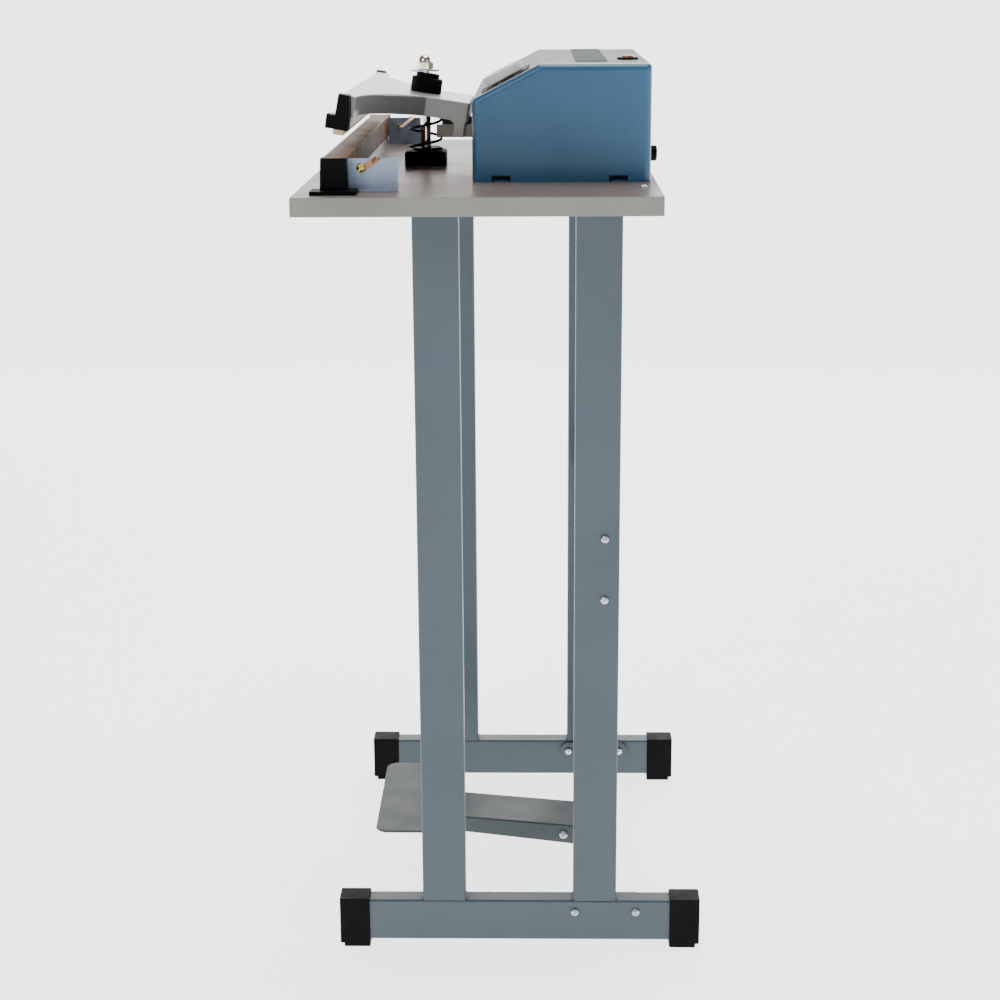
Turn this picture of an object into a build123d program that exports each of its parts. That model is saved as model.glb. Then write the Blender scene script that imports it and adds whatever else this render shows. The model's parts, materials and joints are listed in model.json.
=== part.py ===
"""Foot-pedal impulse heat sealer on a steel stand.

Frame: millimetres, +Z up, origin on the floor under the middle of the overall box.
-Y is the operator's side, where the jaws are; the control box is at +Y.
"""
import os
from math import atan2, cos, degrees, hypot, radians, sin, tan

from build123d import *

os.makedirs("parts", exist_ok=True)

# ---------------------------------------------------------------- driving sizes
# stand
foot_length = 420.0  # over the end caps
foot_spacing = 490.0  # between the foot bars' centre lines
post_spacing = 175.0  # between front and rear post centre lines
stand_y = 10.0  # middle of the stand
tube_width = 25.0
tube_height = 50.0
tube_wall = 1.5
tube_corner = 2.5
foot_lift = 8.0  # floor to the foot bar's underside
cap_length = 35.0
cap_wall = 2.5
cap_end = 3.0
cap_round = 1.6
cap_toe = 4.5  # step at the cap's outer lower corner
plate_thickness = 4.0
plate_width = 60.0
plate_overhang = 30.0
table_screw_reach = 20.5  # beyond the posts
plate_corner = 3.0

# table
table_width = 700.0
table_depth = 380.0
table_height = 884.0
table_y = -30.0
board_thickness = 18.8
laminate_thickness = 0.8
edge_band_thickness = 2.0
edge_band_round = 0.7

# cross members
cross_tube = 25.0
flange_length = 95.0
flange_width = 24.0
flange_thickness = 3.0
flange_bolt_spacing = 71.0
lower_cross_offset = 12.5  # behind the rear post's middle
lower_cross_z = 44.0
brace_offset = 8.5  # behind the rear post's middle
brace_z = 462.0

# fasteners
screw_d = 5.0
screw_hole_d = 5.5
screw_head_d = 9.5
screw_head_h = 3.6
nut_flats = 8.0
nut_h = 4.0
small_screw_d = 4.0
small_head_d = 8.0
small_head_h = 2.4

# pedal
pedal_pivot_reach = 33.5  # in front of the lower cross member
pedal_pivot_z = 41.0
pedal_tilt = 5.0  # degrees, the arm falls towards the rear
pedal_arm_width = 78.0
pedal_arm_top = 13.0  # above the pivot, square to the arm
pedal_arm_front_y = -160.0
pedal_arm_rear_y = 78.0
pedal_step_y = -110.0  # the arm steps up in front of the rod
pedal_step_length = 10.0
pedal_level_z = 74.5  # top of the arm's level front end
pedal_flange_front = 18.0
pedal_flange_rear = 25.0
pedal_sheet = 2.0
pedal_plate_width = 216.0
pedal_plate_depth = 85.0
pedal_plate_front_y = -170.0
pedal_plate_thickness = 2.5
pedal_plate_corner = 16.0
pedal_plate_round = 0.8
ear_gap = 0.5
ear_thickness = 4.0
ear_radius = 9.0
bracket_height = 22.0
pivot_bolt_d = 7.0
pivot_head_d = 11.0
pivot_head_h = 4.0
running_clearance = 0.05  # radial

# pull rod
rod_y = -100.0
rod_d = 12.0
rod_thread_d = 10.0
rod_shoulder_height = 74.0  # above the table
rod_slot_gap = 0.5
contact_gap = 0.3
washer_d = 34.0
washer_thickness = 2.0
dome_nut_flats = 17.0
dome_nut_hex = 8.0
dome_nut_height = 17.0
lower_washer_d = 24.0
lower_washer_thickness = 2.0
lower_nut_flats = 19.0
lower_nut_height = 10.0
rod_tail = 5.0
rod_chamfer = 1.0
pedal_slot_gap = 2.0
block_size = 48.0
block_height = 17.0
block_boss_d = 28.0
block_boss_height = 3.0
block_corner = 2.8
block_chamfer = 2.2
table_rod_hole_d = 15.0

# spring
spring_wire = 3.2
spring_od = 40.0
spring_turns = 3.0
spring_gap = 0.4

# press arm, in its own frame: origin on the hinge axis, level when the jaws are shut
hinge_y = -58.0
hinge_height = 46.0  # above the table
arm_lift = 9.0  # degrees the arm stands open
arm_top = 31.0
arm_skirt = 22.0
arm_sheet = 2.0
arm_round = 2.0
arm_front = -124.0
arm_back = 8.5
neck_width = 140.0
neck_start = -42.0
arm_half_length = 240.0
arm_side_end = -108.0
sweep_x = 108.0
sweep_y = -72.0
back_corner = 3.0
leg_front = -6.0
leg_bottom = -8.5
leg_fillet = 8.0
hinge_pin_d = 6.0
hinge_ear_gap = 1.0
hinge_ear_thickness = 3.0
hinge_ear_front = -84.0
hinge_ear_below = 9.0
hinge_ear_above = 5.5
hinge_back_plate = 3.0
bush_y = -47.0
bush_d = 36.0
bush_height = 17.0
bush_chamfer = 1.5
collar_d = 27.0
collar_height = 5.0

# upper jaw, in the arm's frame
jaw_y = -120.0
strip_width = 11.0
jaw_bottom = -4.0
jaw_flange_front = -133.0
jaw_flange_top = 9.0
jaw_back = -111.5
cap_thickness = 20.0
cap_margin = 1.5
strip_inset = 2.0
seal_gap = 0.3

# lower jaw
lower_jaw_half = 300.0
lower_jaw_width = 24.0
lower_jaw_height = 35.1
element_width = 8.0
element_thickness = 0.6
cloth_thickness = 0.5
cloth_drop = 26.0
support_thickness = 15.0
support_width = 29.0
support_flange = 48.0
support_flange_height = 4.0
support_flange_reach = 15.0
support_slope = 88.0  # degrees
support_round = 1.3
bracket_x = 288.0
bracket_thickness = 2.0
bracket_depth = 52.0
element_bracket_height = 34.0
bracket_foot = 12.0
terminal_setback = 14.0
terminal_height = 24.0
terminal_d = 5.0
terminal_head_d = 9.0
terminal_head_h = 3.0
lug_width = 7.0
lug_thickness = 1.0

# control box
box_half_width = 205.0
box_front = -39.0
box_back = 154.0
box_height = 124.5
box_front_height = 87.5
box_slant_depth = 72.0
side_depth = 14.0
side_round = 7.0
sheet = 1.5
bend_radius = 4.0
notch_width = 20.0
notch_height = 7.0
notch_depth = 5.0
notch_places = (-8.0, 119.0)
tab_reach = 11.0
pan_lip = 9.0

# control panel
dial_x = 145.0
dial_width = 90.0
dial_depth = 58.0
dial_thickness = 1.0
dial_corner = 3.0
knob_d = 46.0
knob_height = 10.0
knob_lift = 1.5
knob_round = 2.0
spindle_d = 6.0
spindle_hole_d = 8.0
spindle_length = 14.0
timer_size = 34.0
timer_depth = 22.0
timer_corner = 2.0
rocker_x = -10.0
rocker_frame_width = 32.0
rocker_frame_depth = 26.0
rocker_frame_thickness = 2.0
rocker_frame_corner = 2.0
rocker_width = 20.0
rocker_radius = 10.0
rocker_gap = 0.6
rocker_wall = 1.2
rocker_tilt = 10.0
rocker_body_depth = 16.0
lamp_x = -80.0
lamp_d = 12.0
lamp_height = 4.0
lamp_round = 3.2
lamp_stem_d = 8.0
lamp_stem = 18.0
label_x = -20.0
label_width = 340.0
label_depth = 35.0
label_thickness = 0.8
label_y = 90.5
fuse_x = 100.0
fuse_y = 132.0
fuse_flange_d = 24.0
fuse_flange_h = 2.5
fuse_chamfer = 0.8
fuse_cap_d = 14.0
fuse_cap_h = 2.5
fuse_body_d = 12.0
fuse_body = 28.0
gland_x = 120.0
gland_height = 23.0
gland_d = 17.0
gland_reach = 11.0
gland_round = 2.2
gland_bore_d = 8.0
gland_neck_d = 12.0
gland_nut_flats = 17.0
gland_nut = 4.0

# inside the control box
core_width = 84.0
core_height = 70.0
core_depth = 40.0
core_leg = 14.0
core_centre = (-90.0, 80.0)
coil_overhang = 12.0
coil_gap = 0.5
core_lift = 4.0
core_foot_margin = 4.0
coil_corner = 6.0
board_size = (90.0, 60.0)
board_centre = (60.0, 70.0)
pcb_thickness = 1.6
standoff = 8.0
standoff_d = 7.0
relay_size = (20.0, 16.0, 16.0)
switch_size = (20.0, 10.0, 16.0)
switch_centre = (0.0, -26.0)


# ---------------------------------------------------------------- shared places
foot_x = foot_spacing / 2
foot_top = foot_lift + tube_height
inner_face = foot_x - tube_width / 2
outer_face = foot_x + tube_width / 2
table_bottom = table_height - board_thickness - laminate_thickness
post_top = table_bottom - plate_thickness
hinge_z = table_height + hinge_height
lower_jaw_top = table_height + lower_jaw_height
terminal_z = table_height + terminal_height
gland_z = table_height + gland_height
rod_shoulder_z = table_height + rod_shoulder_height
post_ys = (stand_y - post_spacing / 2, stand_y + post_spacing / 2)
lower_cross_y = post_ys[1] + lower_cross_offset
brace_y = post_ys[1] + brace_offset
cross_front = lower_cross_y - cross_tube / 2
pedal_pivot_y = cross_front - pedal_pivot_reach
box_top = table_height + box_height
slant_angle = degrees(atan2(box_height - box_front_height, box_slant_depth))
slant_length = hypot(box_height - box_front_height, box_slant_depth)


def side_plane(x):
    """Sketch plane square to X: sketch x is Y and sketch y is Z."""
    return Plane(origin=(x, 0, 0), x_dir=(0, 1, 0), z_dir=(1, 0, 0))


def tilted_frame(y, z, angle):
    """Frame on a hinge line along X, its -Y side raised by the angle."""
    tilt = radians(angle)
    return Plane(origin=(0, y, z), x_dir=(1, 0, 0), z_dir=(0, sin(tilt), cos(tilt)))


def side_of(frame, x):
    """Sketch plane square to X in a tilted frame: sketch x is its Y, sketch y its Z."""
    return Plane(origin=frame.from_local_coords((x, 0, 0)), x_dir=frame.y_dir, z_dir=frame.x_dir)


arm_frame = tilted_frame(hinge_y, hinge_z, arm_lift)
slant = radians(slant_angle)
panel_frame = Plane(
    origin=(0, box_front + box_slant_depth / 2, table_height + (box_front_height + box_height) / 2),
    x_dir=(1, 0, 0),
    z_dir=(0, -sin(slant), cos(slant)),
)


def tube_section(width, depth):
    """Wall of a rectangular tube with rolled corners."""
    hollow_width = width - 2 * tube_wall
    hollow_depth = depth - 2 * tube_wall
    with BuildSketch() as section:
        RectangleRounded(width, depth, tube_corner)
        RectangleRounded(hollow_width, hollow_depth, tube_corner - tube_wall, mode=Mode.SUBTRACT)
    return section.sketch


def save(piece, name):
    """Label the finished piece and write its STEP file."""
    piece.part.label = name
    export_step(piece.part, f"parts/{name}.step")


# ---------------------------------------------------------------- stand
def foot_bar(side):
    """Hollow bar along Y, drilled through for the cross member's two bolts."""
    with BuildPart() as bar:
        with BuildSketch(Plane.XZ.offset(-stand_y)):
            with Locations((side * foot_x, foot_lift + tube_height / 2)):
                add(tube_section(tube_width, tube_height))
        extrude(amount=foot_length / 2 - cap_end, both=True)
        with BuildSketch(side_plane(side * foot_x)):
            with Locations((lower_cross_y, lower_cross_z)):
                with GridLocations(flange_bolt_spacing, 1, 2, 1):
                    Circle(screw_hole_d / 2)
        extrude(amount=tube_width, both=True, mode=Mode.SUBTRACT)
    return bar


foot_bar_left = foot_bar(-1)
save(foot_bar_left, "foot_bar_left")
foot_bar_right = foot_bar(1)
save(foot_bar_right, "foot_bar_right")

with BuildPart() as foot_caps:
    cap_height = foot_top + cap_wall
    cap_width = tube_width + 2 * cap_wall
    for side in (-1, 1):
        for end in (-1, 1):
            outer_end = stand_y + end * foot_length / 2
            with BuildSketch(side_plane(side * foot_x)):
                with Locations((outer_end - end * cap_length / 2, cap_height / 2)):
                    Rectangle(cap_length, cap_height)
                with Locations((outer_end - end * cap_toe / 2, cap_toe / 2)):
                    Rectangle(cap_toe, cap_toe, mode=Mode.SUBTRACT)
            extrude(amount=cap_width / 2, both=True)
    fillet(foot_caps.edges().filter_by(Axis.Z), cap_round)
    fillet(foot_caps.faces().filter_by(Axis.Z).group_by(Axis.Z)[-1].edges(), cap_round / 2)
    with BuildSketch(Plane.XZ.offset(-stand_y)):
        with Locations((0, foot_lift + tube_height / 2)):
            with GridLocations(foot_spacing, 1, 2, 1):
                RectangleRounded(tube_width, tube_height, tube_corner)
    extrude(amount=foot_length / 2 - cap_end, both=True, mode=Mode.SUBTRACT)
save(foot_caps, "foot_caps")


def post(side, y, with_brace):
    """Upright tube from the foot bar to the plate under the table."""
    with BuildPart() as upright:
        with BuildSketch(Plane.XY.offset(foot_top)):
            with Locations((side * foot_x, y)):
                add(tube_section(tube_width, tube_height))
        extrude(amount=post_top - foot_top)
        if with_brace:
            with BuildSketch(side_plane(side * foot_x)):
                with Locations((brace_y, brace_z)):
                    with GridLocations(1, flange_bolt_spacing, 1, 2):
                        Circle(screw_hole_d / 2)
            extrude(amount=tube_width, both=True, mode=Mode.SUBTRACT)
    return upright


front_post_left = post(-1, post_ys[0], False)
save(front_post_left, "front_post_left")
front_post_right = post(1, post_ys[0], False)
save(front_post_right, "front_post_right")
rear_post_left = post(-1, post_ys[1], True)
save(rear_post_left, "rear_post_left")
rear_post_right = post(1, post_ys[1], True)
save(rear_post_right, "rear_post_right")

plate_length = post_spacing + tube_height + 2 * plate_overhang
table_screw_places = [
    (side * (foot_x + reach * tube_width / 2), y)
    for side in (-1, 1)
    for reach, y in ((1, post_ys[1] + tube_height / 2 + table_screw_reach),
                     (-1, post_ys[0] - tube_height / 2 - table_screw_reach))
]

with BuildPart() as post_top_plates:
    with BuildSketch(Plane.XY.offset(post_top)):
        with Locations((0, stand_y)):
            with GridLocations(foot_spacing, 1, 2, 1):
                RectangleRounded(plate_width, plate_length, plate_corner)
        with Locations(*table_screw_places):
            Circle(small_screw_d / 2, mode=Mode.SUBTRACT)
    extrude(amount=plate_thickness)
save(post_top_plates, "post_top_plates")


def cross_member(centre, upright):
    """Square tube across the stand with a slotted-shape flange welded on each end."""
    y, z = centre
    turn = 90 if upright else 0
    reach = inner_face - flange_thickness
    with BuildPart() as member:
        with BuildSketch(side_plane(0)):
            with Locations((y, z)):
                add(tube_section(cross_tube, cross_tube))
        extrude(amount=reach, both=True)
        for side in (-1, 1):
            with BuildSketch(side_plane(side * reach)):
                with Locations(Location((y, z, 0), (0, 0, turn))):
                    SlotOverall(flange_length, flange_width)
                    with GridLocations(flange_bolt_spacing, 1, 2, 1):
                        Circle(screw_hole_d / 2, mode=Mode.SUBTRACT)
            extrude(amount=side * flange_thickness)
    return member


lower_cross_member = cross_member((lower_cross_y, lower_cross_z), False)
save(lower_cross_member, "lower_cross_member")
rear_brace = cross_member((brace_y, brace_z), True)
save(rear_brace, "rear_brace")

half_bolt = flange_bolt_spacing / 2
cross_screw_places = [
    (lower_cross_y - half_bolt, lower_cross_z),
    (lower_cross_y + half_bolt, lower_cross_z),
    (brace_y, brace_z - half_bolt),
    (brace_y, brace_z + half_bolt),
]

with BuildPart() as cross_member_screws:
    nut_face = inner_face - flange_thickness
    for side in (-1, 1):
        with BuildSketch(side_plane(side * outer_face)):
            with Locations(*cross_screw_places):
                Circle(screw_head_d / 2)
        extrude(amount=side * screw_head_h)
        rims = cross_member_screws.faces().filter_by(Axis.X).sort_by(Axis.X)
        outer_rims = rims[-len(cross_screw_places):] if side > 0 else rims[:len(cross_screw_places)]
        fillet(outer_rims.edges(), screw_head_h / 2)
        with BuildSketch(side_plane(side * outer_face)):
            with Locations(*cross_screw_places):
                Circle(screw_d / 2)
        extrude(amount=-side * (outer_face - nut_face + nut_h + tube_wall))
        with BuildSketch(side_plane(side * nut_face)):
            with Locations(*cross_screw_places):
                RegularPolygon(nut_flats / 2, 6, major_radius=False)
        extrude(amount=-side * nut_h)
save(cross_member_screws, "cross_member_screws")

# ---------------------------------------------------------------- table
core_width_x = table_width - 2 * edge_band_thickness
core_depth_y = table_depth - 2 * edge_band_thickness


def table_layer(low, thickness, hole_d):
    """One layer of the table top with the holes for the rod and the screws."""
    with BuildPart() as layer:
        with BuildSketch(Plane.XY.offset(low)):
            with Locations((0, table_y)):
                Rectangle(core_width_x, core_depth_y)
            with Locations((0, rod_y)):
                Circle(table_rod_hole_d / 2, mode=Mode.SUBTRACT)
            with Locations(*table_screw_places):
                Circle(hole_d / 2, mode=Mode.SUBTRACT)
        extrude(amount=thickness)
    return layer


table_board = table_layer(table_bottom, board_thickness, small_screw_d)
save(table_board, "table_board")
table_laminate = table_layer(table_height - laminate_thickness, laminate_thickness, small_screw_d)
save(table_laminate, "table_laminate")

with BuildPart() as table_edge_band:
    with BuildSketch(Plane.XY.offset(table_bottom)):
        with Locations((0, table_y)):
            Rectangle(table_width, table_depth)
            Rectangle(core_width_x, core_depth_y, mode=Mode.SUBTRACT)
    extrude(amount=board_thickness + laminate_thickness)
    band_top = table_edge_band.faces().filter_by(Axis.Z).sort_by(Axis.Z)[-1]
    fillet(band_top.outer_wire().edges(), edge_band_round)
save(table_edge_band, "table_edge_band")


def headed_screws(base, places, head, shank):
    """Round-headed screws standing on a plane, their shanks running below it."""
    head_d, head_h = head
    shank_d, shank_length = shank
    with BuildPart() as screws:
        with BuildSketch(base):
            with Locations(*places):
                Circle(head_d / 2)
        extrude(amount=head_h)
        tops = screws.faces().sort_by(Axis(base.origin, base.z_dir))[-len(places):]
        fillet(tops.edges(), head_h / 2)
        with BuildSketch(base):
            with Locations(*places):
                Circle(shank_d / 2)
        extrude(amount=-shank_length)
    return screws


table_screw_length = board_thickness + laminate_thickness + plate_thickness
table_screws = headed_screws(Plane.XY.offset(table_height), table_screw_places,
                             (small_head_d, small_head_h), (small_screw_d, table_screw_length))
save(table_screws, "table_screws")

# ---------------------------------------------------------------- pedal
ear_outer = pedal_arm_width / 2 - pedal_sheet - ear_gap

with BuildPart() as pedal_bracket:
    bracket_low = lower_cross_z - bracket_height / 2
    with BuildSketch(Plane.XY.offset(bracket_low)):
        with Locations((0, cross_front - ear_thickness / 2)):
            Rectangle(2 * ear_outer, ear_thickness)
    extrude(amount=bracket_height)
    for side in (-1, 1):
        with BuildSketch(side_plane(side * ear_outer)):
            with Locations((pedal_pivot_y, pedal_pivot_z)):
                Circle(ear_radius)
            ear_depth = cross_front - pedal_pivot_y
            with Locations((pedal_pivot_y + ear_depth / 2, pedal_pivot_z)):
                Rectangle(ear_depth, 2 * ear_radius)
            with Locations((pedal_pivot_y, pedal_pivot_z)):
                Circle(pivot_bolt_d / 2, mode=Mode.SUBTRACT)
        extrude(amount=-side * ear_thickness)
save(pedal_bracket, "pedal_bracket")

with BuildPart() as pedal_pivot_bolts:
    arm_outer = pedal_arm_width / 2
    bolt_length = arm_outer + ear_gap - ear_outer + ear_thickness + nut_h
    for side in (-1, 1):
        head_plane = side_plane(side * (arm_outer + ear_gap))
        with BuildSketch(head_plane):
            with Locations((pedal_pivot_y, pedal_pivot_z)):
                Circle(pivot_head_d / 2)
        extrude(amount=side * pivot_head_h)
        with BuildSketch(head_plane):
            with Locations((pedal_pivot_y, pedal_pivot_z)):
                Circle(pivot_bolt_d / 2)
        extrude(amount=-side * bolt_length)
        with BuildSketch(side_plane(side * (ear_outer - ear_thickness))):
            with Locations((pedal_pivot_y, pedal_pivot_z)):
                RegularPolygon(pivot_head_d / 2, 6, major_radius=False)
        extrude(amount=-side * nut_h)
save(pedal_pivot_bolts, "pedal_pivot_bolts")

pedal_slot_length = rod_d + 3 * pedal_slot_gap
pedal_slot_width = rod_d + pedal_slot_gap
pedal_slot_turn = Location((0, rod_y, 0), (0, 0, 90))
pedal_plate_y = pedal_plate_front_y + pedal_plate_depth / 2
pedal_lift = radians(pedal_tilt)


def arm_top_z(y):
    """Height of the pedal arm's sloping top over a place behind the step."""
    return pedal_pivot_z + pedal_arm_top / cos(pedal_lift) + (pedal_pivot_y - y) * tan(pedal_lift)


def pedal_outline(drop, front_bottom, rear_bottom):
    """Side view of the pedal arm, its top lowered by the drop."""
    with BuildSketch() as outline:
        with BuildLine():
            Polyline(
                (pedal_arm_rear_y, rear_bottom),
                (pedal_arm_rear_y, arm_top_z(pedal_arm_rear_y) - drop),
                (pedal_step_y, arm_top_z(pedal_step_y) - drop),
                (pedal_step_y - pedal_step_length, pedal_level_z - drop),
                (pedal_arm_front_y, pedal_level_z - drop),
                (pedal_arm_front_y, front_bottom),
                close=True,
            )
        make_face()
    return outline.sketch


with BuildPart() as pedal_arm:
    arm_front_bottom = pedal_level_z - pedal_flange_front
    arm_rear_bottom = arm_top_z(pedal_arm_rear_y) - pedal_flange_rear
    with BuildSketch(side_plane(0)):
        add(pedal_outline(0, arm_front_bottom, arm_rear_bottom))
    extrude(amount=pedal_arm_width / 2, both=True)
    long_edges = pedal_arm.edges().filter_by(Axis.X, reverse=True)
    top_edges = long_edges.filter_by(lambda edge: edge.center().Z > arm_top_z(edge.center().Y) - pedal_sheet)
    fillet(top_edges, pedal_sheet)
    with BuildSketch(side_plane(0)):
        add(pedal_outline(pedal_sheet, 0, 0))
    extrude(amount=pedal_arm_width / 2 - pedal_sheet, both=True, mode=Mode.SUBTRACT)
    with BuildSketch(side_plane(0)):
        with Locations((pedal_pivot_y, pedal_pivot_z)):
            Circle(pivot_bolt_d / 2 + running_clearance)
    extrude(amount=pedal_arm_width, both=True, mode=Mode.SUBTRACT)
    with BuildSketch(Plane.XY.offset(pedal_level_z)):
        with Locations(pedal_slot_turn):
            SlotOverall(pedal_slot_length, pedal_slot_width)
    extrude(amount=-pedal_flange_front, mode=Mode.SUBTRACT)
save(pedal_arm, "pedal_arm")

with BuildPart() as pedal_plate:
    with BuildSketch(Plane.XY.offset(pedal_level_z)):
        with Locations((0, pedal_plate_y)):
            RectangleRounded(pedal_plate_width, pedal_plate_depth, pedal_plate_corner)
        with Locations(pedal_slot_turn):
            SlotOverall(pedal_slot_length, pedal_slot_width, mode=Mode.SUBTRACT)
    extrude(amount=pedal_plate_thickness)
    rim = pedal_plate.faces().sort_by(Axis.Z)[-1].outer_wire()
    fillet(rim.edges(), pedal_plate_round)
save(pedal_plate, "pedal_plate")

# ---------------------------------------------------------------- pull rod
lift = radians(arm_lift)
collar_top = arm_top + bush_height + collar_height
collar_rim_y = bush_y - collar_d / 2
rim_height = collar_top * cos(lift) - collar_rim_y * sin(lift)
washer_z = hinge_z + rim_height + contact_gap
nut_z = washer_z + washer_thickness

# where the lower washer meets the pedal arm's web, at the web's lowest point over the washer
web_low_z = arm_top_z(rod_y + lower_washer_d / 2) - pedal_sheet / cos(pedal_lift)
lower_washer_z = web_low_z - contact_gap
lower_nut_z = lower_washer_z - lower_washer_thickness - lower_nut_height
rod_bottom = lower_nut_z - rod_tail
rod_axis = Plane(origin=(0, rod_y, 0))

with BuildPart() as pull_rod:
    with BuildSketch(rod_axis.offset(rod_bottom)):
        Circle(rod_d / 2)
    extrude(amount=rod_shoulder_z - rod_bottom)
    with BuildSketch(rod_axis.offset(rod_shoulder_z)):
        Circle(rod_thread_d / 2)
    extrude(amount=nut_z + dome_nut_hex - rod_shoulder_z)
    chamfer(pull_rod.edges().group_by(Axis.Z)[0], rod_chamfer)
save(pull_rod, "pull_rod")

with BuildPart() as top_washer:
    with BuildSketch(rod_axis.offset(washer_z)):
        Circle(washer_d / 2)
        Circle(rod_thread_d / 2, mode=Mode.SUBTRACT)
    extrude(amount=washer_thickness)
save(top_washer, "top_washer")

with BuildPart() as dome_nut:
    with BuildSketch(rod_axis.offset(nut_z)):
        RegularPolygon(dome_nut_flats / 2, 6, major_radius=False)
    extrude(amount=dome_nut_hex)
    dome_radius = dome_nut_flats / 2
    dome_wall = dome_nut_height - dome_nut_hex - dome_radius
    with BuildSketch(Plane(origin=(0, rod_y, nut_z + dome_nut_hex), x_dir=(1, 0, 0), z_dir=(0, -1, 0))):
        with BuildLine():
            Polyline((0, dome_wall + dome_radius), (0, 0), (dome_radius, 0), (dome_radius, dome_wall))
            CenterArc((0, dome_wall), dome_radius, start_angle=0, arc_size=90)
        make_face()
    revolve(axis=Axis((0, rod_y, 0), (0, 0, 1)))
    with BuildSketch(rod_axis.offset(nut_z)):
        Circle(rod_thread_d / 2)
    extrude(amount=dome_nut_hex, mode=Mode.SUBTRACT)
save(dome_nut, "dome_nut")

with BuildPart() as lower_washer:
    with BuildSketch(rod_axis.offset(lower_washer_z)):
        Circle(lower_washer_d / 2)
        Circle(rod_d / 2, mode=Mode.SUBTRACT)
    extrude(amount=-lower_washer_thickness)
save(lower_washer, "lower_washer")

with BuildPart() as lower_nut:
    with BuildSketch(rod_axis.offset(lower_nut_z)):
        RegularPolygon(lower_nut_flats / 2, 6, major_radius=False)
        Circle(rod_d / 2, mode=Mode.SUBTRACT)
    extrude(amount=lower_nut_height)
save(lower_nut, "lower_nut")

with BuildPart() as guide_block:
    with BuildSketch(rod_axis.offset(table_height)):
        RectangleRounded(block_size, block_size, block_corner)
    extrude(amount=block_height)
    chamfer(guide_block.faces().sort_by(Axis.Z)[-1].edges(), block_chamfer)
    with BuildSketch(rod_axis.offset(table_height + block_height)):
        Circle(block_boss_d / 2)
    extrude(amount=block_boss_height)
    with BuildSketch(rod_axis.offset(table_height)):
        Circle(rod_d / 2 + running_clearance)
    extrude(amount=block_height + block_boss_height, mode=Mode.SUBTRACT)
save(guide_block, "guide_block")

# the spring stands on the block and stops under the tilted arm's web
web_under = arm_top - arm_sheet
rod_from_hinge = rod_y - hinge_y
web_at_rod = hinge_z + (web_under - rod_from_hinge * sin(lift)) / cos(lift)
spring_top = web_at_rod - spring_od / 2 * sin(lift) / cos(lift) - spring_gap
spring_base = table_height + block_height + spring_gap
spring_rise = spring_top - spring_base - spring_wire
spring_radius = (spring_od - spring_wire) / 2

with BuildPart() as return_spring:
    with BuildLine() as coil_path:
        Helix(spring_rise / spring_turns, spring_rise, spring_radius,
              center=(0, rod_y, spring_base + spring_wire / 2))
    with BuildSketch(Plane(origin=coil_path.line @ 0, z_dir=coil_path.line % 0)):
        Circle(spring_wire / 2)
    sweep(is_frenet=True)
save(return_spring, "return_spring")

# ---------------------------------------------------------------- press arm
slot_front = (rod_from_hinge - collar_top * sin(lift) - rod_thread_d / 2) / cos(lift) - rod_slot_gap
slot_rear = rod_from_hinge + rod_thread_d / 2 + rod_slot_gap
slot_width = rod_thread_d + 2 * rod_slot_gap
slot_turn = Location((0, (slot_front + slot_rear) / 2, 0), (0, 0, 90))
skirt_bottom = arm_top - arm_skirt
half_neck = neck_width / 2

with BuildPart() as arm_cover:
    with BuildSketch(arm_frame.offset(skirt_bottom)) as arm_outline:
        with BuildLine():
            Line((0, arm_front), (arm_half_length, arm_front))
            Line((arm_half_length, arm_front), (arm_half_length, arm_side_end))
            ThreePointArc((arm_half_length, arm_side_end), (sweep_x, sweep_y), (half_neck, neck_start))
            Line((half_neck, neck_start), (half_neck, arm_back))
            Line((half_neck, arm_back), (0, arm_back))
            mirror(about=Plane.YZ)
        make_face()
        back_corners = arm_outline.vertices().group_by(Axis.Y)[-1]
        fillet(back_corners, back_corner)
    extrude(amount=arm_skirt)
    arm_up = Axis(arm_frame.origin, arm_frame.z_dir)
    fillet(arm_cover.faces().sort_by(arm_up)[-1].edges(), arm_round)
    with BuildSketch(arm_frame.offset(skirt_bottom)):
        add(offset(arm_outline.sketch_local, -arm_sheet, mode=Mode.PRIVATE))
    extrude(amount=arm_skirt - arm_sheet, mode=Mode.SUBTRACT)
    for side in (-1, 1):
        with BuildSketch(side_of(arm_frame, side * half_neck)):
            with BuildLine():
                Polyline(
                    (leg_front, leg_bottom),
                    (arm_back - back_corner, leg_bottom),
                    (arm_back - back_corner, skirt_bottom),
                    (leg_front - leg_fillet, skirt_bottom),
                )
                RadiusArc((leg_front - leg_fillet, skirt_bottom), (leg_front, skirt_bottom - leg_fillet),
                          leg_fillet)
                Line((leg_front, skirt_bottom - leg_fillet), (leg_front, leg_bottom))
            make_face()
        extrude(amount=-side * arm_sheet)
    with BuildSketch(side_of(arm_frame, 0)):
        Circle(hinge_pin_d / 2 + running_clearance)
    extrude(amount=neck_width, both=True, mode=Mode.SUBTRACT)
    with BuildSketch(arm_frame.offset(web_under)):
        with Locations(slot_turn):
            SlotOverall(slot_rear - slot_front, slot_width)
    extrude(amount=arm_sheet, mode=Mode.SUBTRACT)
save(arm_cover, "arm_cover")

with BuildPart() as arm_bush:
    with BuildSketch(arm_frame.offset(arm_top)):
        with Locations((0, bush_y)):
            Circle(bush_d / 2)
    extrude(amount=bush_height)
    chamfer(arm_bush.faces().sort_by(arm_up)[-1].edges(), bush_chamfer)
    with BuildSketch(arm_frame.offset(arm_top + bush_height)):
        with Locations((0, bush_y)):
            Circle(collar_d / 2)
    extrude(amount=collar_height)
    with BuildSketch(arm_frame.offset(arm_top)):
        with Locations(slot_turn):
            SlotOverall(slot_rear - slot_front, slot_width)
    extrude(amount=bush_height + collar_height, mode=Mode.SUBTRACT)
save(arm_bush, "arm_bush")

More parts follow.
